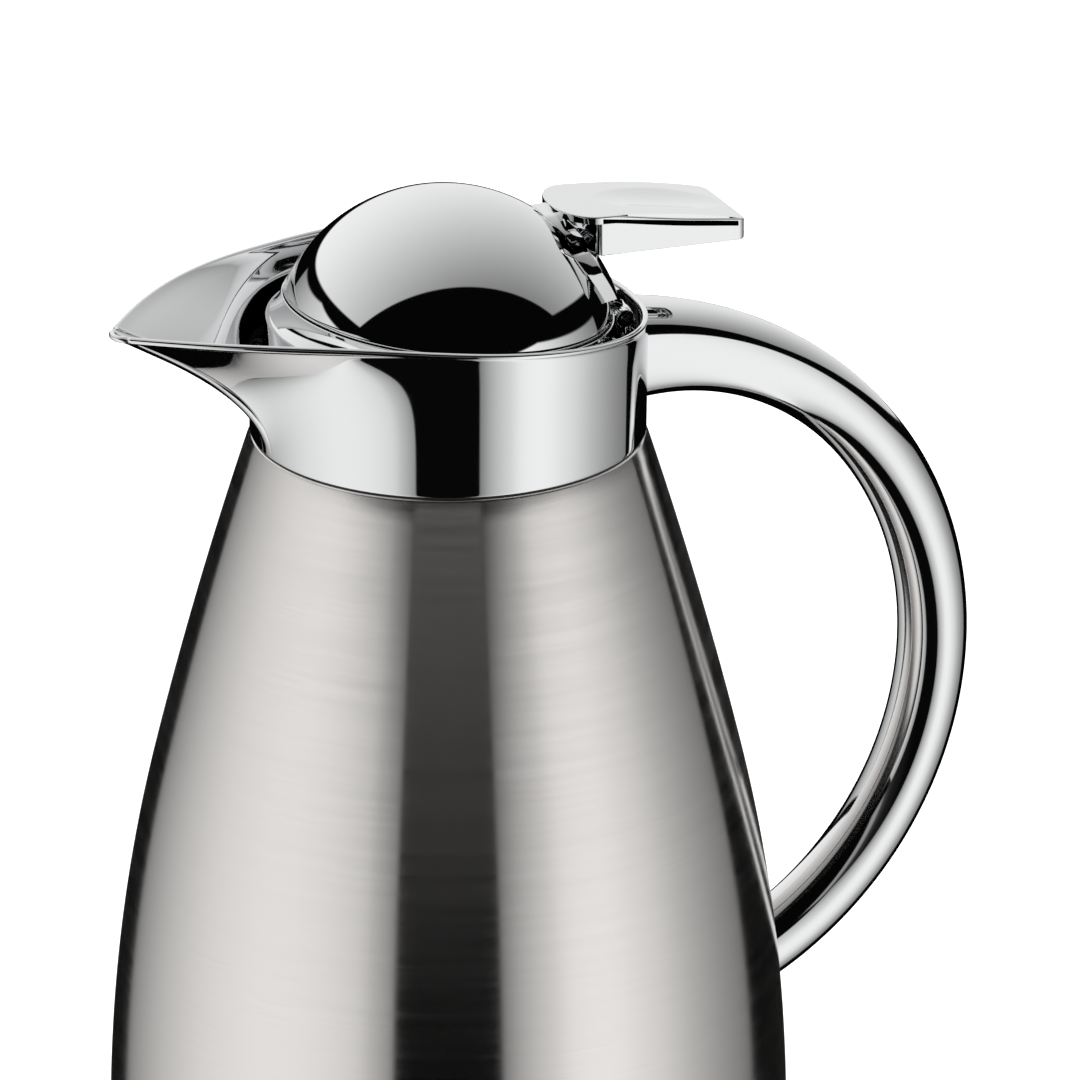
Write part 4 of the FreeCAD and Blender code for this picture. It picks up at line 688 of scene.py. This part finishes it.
def ring_top():
    """The ring's upper outline: a bead, a hollow shoulder, a lip under the dome, then down inside."""
    shoulder = (RING_RADIUS - RING_BEAD, -RING_SHOULDER)
    bead = between((RING_RADIUS, -RING_SHOULDER - 1), shoulder, 1.0, -1, 8)
    hollow = between(shoulder, (EDGE_RADIUS + 0.3, -LIP_ROUND), 9.0, 1, 14)
    lip = bow(EDGE_RADIUS + 0.05, -LIP_ROUND, LIP_ROUND, 20, 160, 6)
    inner = [(EDGE_RADIUS - 0.6, -0.6), (RING_RADIUS - RING_WALL - 0.4, -RING_SHOULDER)]
    return bead + hollow[1:] + lip + inner


def ring_slice(angle):
    """The ring's closed outline in one plane through its axis; its foot stays level as the ring leans."""
    reach = RING_RADIUS * math.cos(angle)
    foot = (RING_FOOT - CREASE + reach * math.sin(LEAN)) / math.cos(LEAN)
    wall_low = bow(RING_RADIUS - RING_EDGE_ROUND, foot + RING_EDGE_ROUND, RING_EDGE_ROUND, -90, 0, 4)
    wall = [(RING_RADIUS, z) for z in steps(foot + 1, -RING_SHOULDER - 1.4, 6)]
    inside = [(RING_RADIUS - RING_WALL, z) for z in steps(-RING_SHOULDER - 1, foot, 4)]
    outline = wall_low + wall + ring_top() + inside
    return [(r * math.cos(angle), r * math.sin(angle), z) for r, z in outline]


def block(low, high):
    """An upright box between two corners."""
    points = [(x, y, z) for x in (low[0], high[0]) for y in (low[1], high[1]) for z in (low[2], high[2])]
    return points, [(0, 1, 3, 2), (4, 6, 7, 5), (0, 4, 5, 1), (2, 3, 7, 6), (0, 2, 6, 4), (1, 5, 7, 3)]


def rod(start, outline, count=48):
    """A turned rod from its start along the hinge's direction, from (along, radius) steps."""
    points = []
    for along, radius in outline:
        for i in range(count):
            angle = 2 * math.pi * i / count
            spot = Vector((radius * math.cos(angle), along, radius * math.sin(angle)))
            points.append(tuple(spot + start))
    faces = []
    for k in range(len(outline) - 1):
        for i in range(count):
            after = (i + 1) % count
            faces.append((k * count + i, k * count + after, (k + 1) * count + after, (k + 1) * count + i))
    faces.append(list(range(count)))
    faces.append([(len(outline) - 1) * count + i for i in range(count)])
    return points, faces


def turned_along(width, radius, edge=0.25):
    """Steps of a rod with rounded ends."""
    ends = []
    for lift in (0, 30, 60, 90):
        a = math.radians(lift)
        ends.append((edge - edge * math.cos(a), radius - edge + edge * math.sin(a)))
    return ends + [(width - along, r) for along, r in reversed(ends)]


def cut_away(obj, shapes, place=None):
    """Takes solid shapes out of a piece for good."""
    for shape in shapes:
        tool = piece("tool", [shape], obj.data.materials[0], "jug", [], place)
        tool.parent = None
        cut = obj.modifiers.new("cut", "BOOLEAN")
        cut.object = tool
        cut.solver = "EXACT"
        bpy.context.view_layer.update()
        finished = obj.evaluated_get(bpy.context.evaluated_depsgraph_get())
        done = bpy.data.meshes.new_from_object(finished)
        obj.modifiers.clear()
        obj.data = done
        bpy.data.objects.remove(tool)


ring_turn = [math.radians(a) for a in steps(0, 360, 240)[:-1]]
ring_skin = wound([ring_slice(a) for a in ring_turn])
pin_spot = leaning @ Vector((PIN_REACH, 0, -PIN_DROP))
ring = piece("closing_ring", [ring_skin], collar_steel, "closure", ["closure_ring"], leaning)
window = block(
    (WINDOW_REACH[0], -WINDOW_HALF_WIDTH, seam_height + WINDOW_LOW),
    (WINDOW_REACH[1], WINDOW_HALF_WIDTH, seam_height + WINDOW_HIGH),
)
room_start = pin_spot - Vector((0, EAR_START, 0))
knuckle_room = rod(room_start, [(0, KNUCKLE_ROOM), (2 * EAR_START, KNUCKLE_ROOM)])
notch = block(
    (PIN_REACH - KNUCKLE_ROOM, -EAR_START, -PIN_DROP), (PIN_REACH + NOTCH_SIZE, EAR_START, NOTCH_SIZE)
)
cut_away(ring, [window, knuckle_room])
cut_away(ring, [notch], leaning)
soft_edges(ring)
ears = []
for low in (EAR_START, -EAR_START - EAR_WIDTH):
    ears.append(rod(pin_spot + Vector((0, low, 0)), turned_along(EAR_WIDTH, KNUCKLE_RADIUS)))
    web_low = (pin_spot.x - KNUCKLE_RADIUS + 0.1, low + WEB_INSET, pin_spot.z - WEB_DEPTH)
    web_high = (pin_spot.x - 0.2, low + EAR_WIDTH - WEB_INSET, pin_spot.z)
    ears.append(block(web_low, web_high))
ring_ears = piece("ring_knuckles", ears, collar_steel, "closure", [])
soft_edges(ring_ears)

# Domed lid. A spun and mirror-polished steel cap, part of a sphere, with its edge turned
# in over the ring; it leans towards the spout.
DOME_RADIUS = 41.0
DOME_DROP = 13.3
DOME_SHEET = 1.0
LID_GAP = 0.25
EDGE_ROLL = 0.35

dome_finish = mirror_finish("dome_polish", CHROME, 0.015, 0.04, ripple=0.012)
edge_angle = math.asin((DOME_DROP + LID_GAP + 2 * EDGE_ROLL) / DOME_RADIUS)


def meridian(size, start, end, count):
    """Points of a sphere's outline, given in the dome's own height."""
    return [(size * math.cos(a), size * math.sin(a) - DOME_DROP) for a in steps(start, end, count)]


cap = meridian(DOME_RADIUS, edge_angle, math.pi / 2, 110)
cap[-1] = (0.0, DOME_RADIUS - DOME_DROP)
roll_centre = math.sqrt(DOME_RADIUS**2 - (DOME_DROP + LID_GAP) ** 2) - EDGE_ROLL * 1.05
edge_bow = bow(roll_centre, LID_GAP + EDGE_ROLL, EDGE_ROLL, -150, 10, 8)
under = DOME_RADIUS - DOME_SHEET
hollow = meridian(under, math.pi / 2, edge_angle + 0.03, 30)
hollow[0] = (0.0, under - DOME_DROP)
dome_skin = spun(edge_bow + cap + hollow)
dome = piece("dome", [dome_skin], dome_finish, "lid", ["lid_dome"], leaning)

# Thumb lever. A plated casting: a thumb plate with an oval dimple, skirts at its sides and
# tail, and a saddle that hugs the dome's back down to the hinge barrel.
LEVER_HALF = 12.0
LEVER_FRONT = 26.0
LEVER_TAIL = 71.5
NOSE = 8.0
LEVER_CROWN = 52.0
LEVER_CROWN_REACH = 20.0
LEVER_ARC = 190.0
LEVER_SHEET = 1.8
LEVER_EDGE = 0.45
TAIL_CORNER = 2.2
SKIRT_FRONT = 33.0
SKIRT_FOOT = 41.7
SKIRT_FALL = 1.8
DIMPLE_REACH = 54.0
DIMPLE_LENGTH = 16.5
DIMPLE_HALF = 7.4
DIMPLE_DEPTH = 1.0
SKIRT_CORNER = 1.4
SKIRT_EDGE_ROUND = 0.35
BARREL_HALF = 5.0
TONGUE_HEIGHT = 5.0

LEVER_BACK = LEVER_TAIL - TAIL_CORNER


def lever_half_width(reach):
    """Half of the plate's width in plan: an oval nose, straight sides, rounded tail corners."""
    if reach < LEVER_FRONT + NOSE:
        return LEVER_HALF * math.sqrt(max(0.0, 1 - ((LEVER_FRONT + NOSE - reach) / NOSE) ** 2))
    if reach > LEVER_BACK:
        return LEVER_HALF - TAIL_CORNER + math.sqrt(max(0.0, TAIL_CORNER**2 - (reach - LEVER_BACK) ** 2))
    return LEVER_HALF


def lever_top(reach, side=0.0):
    """Height of the thumb plate, with its dimple."""
    arc_drop = LEVER_ARC - math.sqrt(LEVER_ARC**2 - (reach - LEVER_CROWN_REACH) ** 2)
    inside = 1 - ((reach - DIMPLE_REACH) / DIMPLE_LENGTH) ** 2 - (side / DIMPLE_HALF) ** 2
    return seam_height + LEVER_CROWN - arc_drop - DIMPLE_DEPTH * max(0.0, inside) ** 1.25


def lever_stations():
    nose = [LEVER_FRONT + NOSE * (1 - math.cos(a)) for a in steps(0.02, math.pi / 2, 26)]
    middle = steps(LEVER_FRONT + NOSE, LEVER_BACK, 80)[1:-1]
    tail = [LEVER_BACK + TAIL_CORNER * math.sin(a) for a in steps(0, math.pi / 2 - 0.02, 10)]
    return nose + middle + tail


def plate_section(reach):
    """Closed cross-section of the thumb plate: crowned top, round upper edges, flat underside."""
    half_width = lever_half_width(reach)
    edge = min(LEVER_EDGE, half_width * 0.8)
    shrink = max(half_width - edge, 0.01)
    section = []
    for share in steps(-1, 1, 56):
        section.append((reach, shrink * share, lever_top(reach, shrink * share)))
    for lift in steps(75, 0, 5):
        a = math.radians(lift)
        section.append((reach, shrink + edge * math.cos(a), lever_top(reach) - edge + edge * math.sin(a)))
    section.append((reach, half_width, lever_top(reach) - LEVER_SHEET))
    section.append((reach, -half_width, lever_top(reach) - LEVER_SHEET))
    for lift in steps(0, 75, 5):
        a = math.radians(lift)
        section.append((reach, -shrink - edge * math.cos(a), lever_top(reach) - edge + edge * math.sin(a)))
    return section


def capped(sections):
    """A skin along sections, closed at both ends."""
    size = len(sections[0])
    points = [tuple(spot) for one in sections for spot in one]
    faces = []
    for i in range(len(sections) - 1):
        for k in range(size):
            after = (k + 1) % size
            faces.append((i * size + k, (i + 1) * size + k, (i + 1) * size + after, i * size + after))
    faces.append(list(range(size)))
    faces.append([(len(sections) - 1) * size + k for k in range(size)])
    return points, faces


plate = capped([plate_section(reach) for reach in lever_stations()])


def skirt_foot(reach):
    share = (reach - SKIRT_FRONT) / (LEVER_TAIL - SKIRT_FRONT)
    return seam_height + SKIRT_FOOT - SKIRT_FALL * share


def skirt_path(inset):
    """Plan line of the skirts: a rounded box, its front end hidden by the dome."""
    path = []
    # each corner: where it is, its round, which way it looks and where its arc starts
    corners = [
        (LEVER_TAIL, LEVER_HALF, TAIL_CORNER, 1, 1, 0),
        (SKIRT_FRONT, LEVER_HALF, SKIRT_CORNER, -1, 1, 90),
        (SKIRT_FRONT, -LEVER_HALF, SKIRT_CORNER, -1, -1, 180),
        (LEVER_TAIL, -LEVER_HALF, TAIL_CORNER, 1, -1, 270),
    ]
    for reach, side, corner, out_x, out_y, start in corners:
        size = max(corner - inset, 0.3)
        reach_to, side_to = reach - out_x * (inset + size), side - out_y * (inset + size)
        path += bow(reach_to, side_to, size, start, start + 90, 8)
    return path


def skirt_skin():
    """The skirts' sheet, wound round their plan line with its foot rounded."""
    slices = []
    for (x, y), (inner_x, inner_y) in zip(skirt_path(0.0), skirt_path(LEVER_SHEET)):
        start = Vector((x, y, 0))
        thick = Vector((inner_x - x, inner_y - y, 0))
        inward = thick.normalized() * SKIRT_EDGE_ROUND
        top = lever_top(min(x, LEVER_TAIL)) - LEVER_EDGE * 1.2
        foot = skirt_foot(x)
        outline = [start + Vector((0, 0, top)), start + Vector((0, 0, foot + SKIRT_EDGE_ROUND))]
        for side, way, lifts in ((start, 1, (30, 60, 90)), (start + thick, -1, (90, 60, 30, 0))):
            for lift in lifts:
                a = math.radians(lift)
                height = foot + SKIRT_EDGE_ROUND * (1 - math.sin(a))
                outline.append(side + inward * way * (1 - math.cos(a)) + Vector((0, 0, height)))
        outline.append(start + thick + Vector((0, 0, top - LEVER_SHEET)))
        outline.append(start + thick * 0.5 + Vector((0, 0, top - 0.4)))
        slices.append(outline)
    return wound(slices)


SADDLE_SHEET = 2.4
SADDLE_HALF = 19.5
SADDLE_KNEE = 19.0
SADDLE_TOP = 29.5
SADDLE_FOOT = DOME_DROP + 1.9
SADDLE_END = 33.0
SADDLE_LIFT = 0.02
SADDLE_ROUND = 0.07
HIDDEN_MARGIN = 0.9
dome_centre = leaning @ Vector((0, 0, -DOME_DROP))


def saddle_half(height):
    """Half width of the saddle at a height above the dome's centre; its top hides under the plate."""
    if height <= SADDLE_KNEE:
        return SADDLE_HALF
    share = min(1.0, (height - SADDLE_KNEE) / (SADDLE_TOP - SADDLE_KNEE))
    side = SADDLE_HALF + (LEVER_HALF - SADDLE_HALF) * (1 - math.sqrt(max(0.0, 1 - share**2)))
    size = DOME_RADIUS + SADDLE_SHEET
    while side > 0.2:
        reach = dome_centre.x + math.sqrt(max(size**2 - side**2 - height**2, 0.0))
        if height < SADDLE_TOP - 2 or side < lever_half_width(reach) - HIDDEN_MARGIN:
            return side
        side -= 0.1
    return side


def saddle_skin():
    """A shell on the dome's back, its side edges rounded."""
    inner_size = DOME_RADIUS + SADDLE_LIFT
    rows = []
    for height in steps(SADDLE_FOOT, SADDLE_END, 34):
        half_width = saddle_half(height)
        row = []
        for share in steps(-1, 1, 36):
            side = half_width * share
            past_edge = max(0.0, (abs(share) - 1 + SADDLE_ROUND) / SADDLE_ROUND)
            sheet = max(SADDLE_SHEET * math.sqrt(max(0.0, 1 - past_edge**2)), 0.05)
            reach = math.sqrt(max((inner_size + sheet) ** 2 - side**2 - height**2, 1.0))
            row.append(dome_centre + Vector((reach, side, height)))
        for share in steps(1, -1, 36):
            side = half_width * share
            reach = math.sqrt(max(inner_size**2 - side**2 - height**2, 1.0))
            row.append(dome_centre + Vector((reach, side, height)))
        rows.append(row)
    return capped(rows)


lever_chrome = mirror_finish("lever_plating", CHROME, 0.02, 0.05, ripple=0.02)
barrel = rod(pin_spot - Vector((0, BARREL_HALF, 0)), turned_along(2 * BARREL_HALF, KNUCKLE_RADIUS))
tongue = block(
    (pin_spot.x - 1.2, -BARREL_HALF + 0.1, pin_spot.z),
    (pin_spot.x + 1.4, BARREL_HALF - 0.1, pin_spot.z + TONGUE_HEIGHT),
)
lever_shapes = [plate, skirt_skin(), saddle_skin(), barrel, tongue]
lever = piece("lever", lever_shapes, lever_chrome, "lid", ["thumb_lever"])
soft_edges(lever, 40)

# Pieces kept as turned, moulded or blown: base, flask, liners, stopper, valve, seals and
# fasteners. Each takes the finish of what it is made of.
PLASTIC = (0.018, 0.018, 0.02, 1)
GRAIN_SPREAD = 0.06


def moulded(name, colour, rough, grain=0.15):
    """Moulded plastic or rubber with a fine grain."""
    material, nodes, shader = new_material(name)
    shader.inputs["Base Color"].default_value = colour
    place = nodes.add("ShaderNodeTexCoord").outputs["Object"]
    texture = stretched_noise(nodes, place, (2400, 2400, 2400), detail=2.0)
    nodes.feed(shader.inputs["Roughness"], spread(nodes, texture, rough - GRAIN_SPREAD, rough + GRAIN_SPREAD))
    bump = nodes.add("ShaderNodeBump")
    bump.inputs["Strength"].default_value = grain
    bump.inputs["Distance"].default_value = 0.00005
    nodes.feed(bump.inputs["Height"], texture)
    nodes.feed(shader.inputs["Normal"], bump.outputs[0])
    return material, shader


plastic = moulded("black_plastic", PLASTIC, 0.42)[0]
rubber = moulded("foot_rubber", (0.02, 0.02, 0.02, 1), 0.75, 0.3)[0]
silicone, shader = moulded("clear_silicone", (0.62, 0.61, 0.58, 1), 0.45, 0.1)
shader.inputs["Subsurface Weight"].default_value = 0.3
shader.inputs["Subsurface Radius"].default_value = (0.002, 0.002, 0.002)
black_seal = moulded("seam_seal", (0.01, 0.01, 0.01, 1), 0.6, 0.2)[0]
plain_steel = mirror_finish("plain_steel", (0.6, 0.6, 0.6, 1), 0.28, 0.4, ripple=0.08)
zinc = mirror_finish("zinc_plate", (0.62, 0.63, 0.65, 1), 0.2, 0.32, ripple=0.06)
spring_wire = mirror_finish("spring_wire", (0.55, 0.55, 0.55, 1), 0.18, 0.3, ripple=0.05)
silvered = mirror_finish("silvered_glass", (0.86, 0.86, 0.88, 1), 0.03, 0.08, ripple=0.15)
finishes = {
    "dark_plastic": plastic,
    "rubber": rubber,
    "silicone": silicone,
    "black_seal": black_seal,
    "plain_steel": plain_steel,
    "fasteners": zinc,
    "spring_wire": spring_wire,
    "silvered_glass": silvered,
    "clear_glass": silvered,
    "mirror_steel": collar_steel,
    "mirror_dome": dome_finish,
    "mirror_lever": lever_chrome,
    "mirror_handle": handle_chrome,
    "satin_steel": satin_steel,
}
for part in frame["record"]["subparts"]:
    node = frame["nodes"][part["node"]]
    node.data.materials.clear()
    node.data.materials.append(finishes[part["material_slot"]])
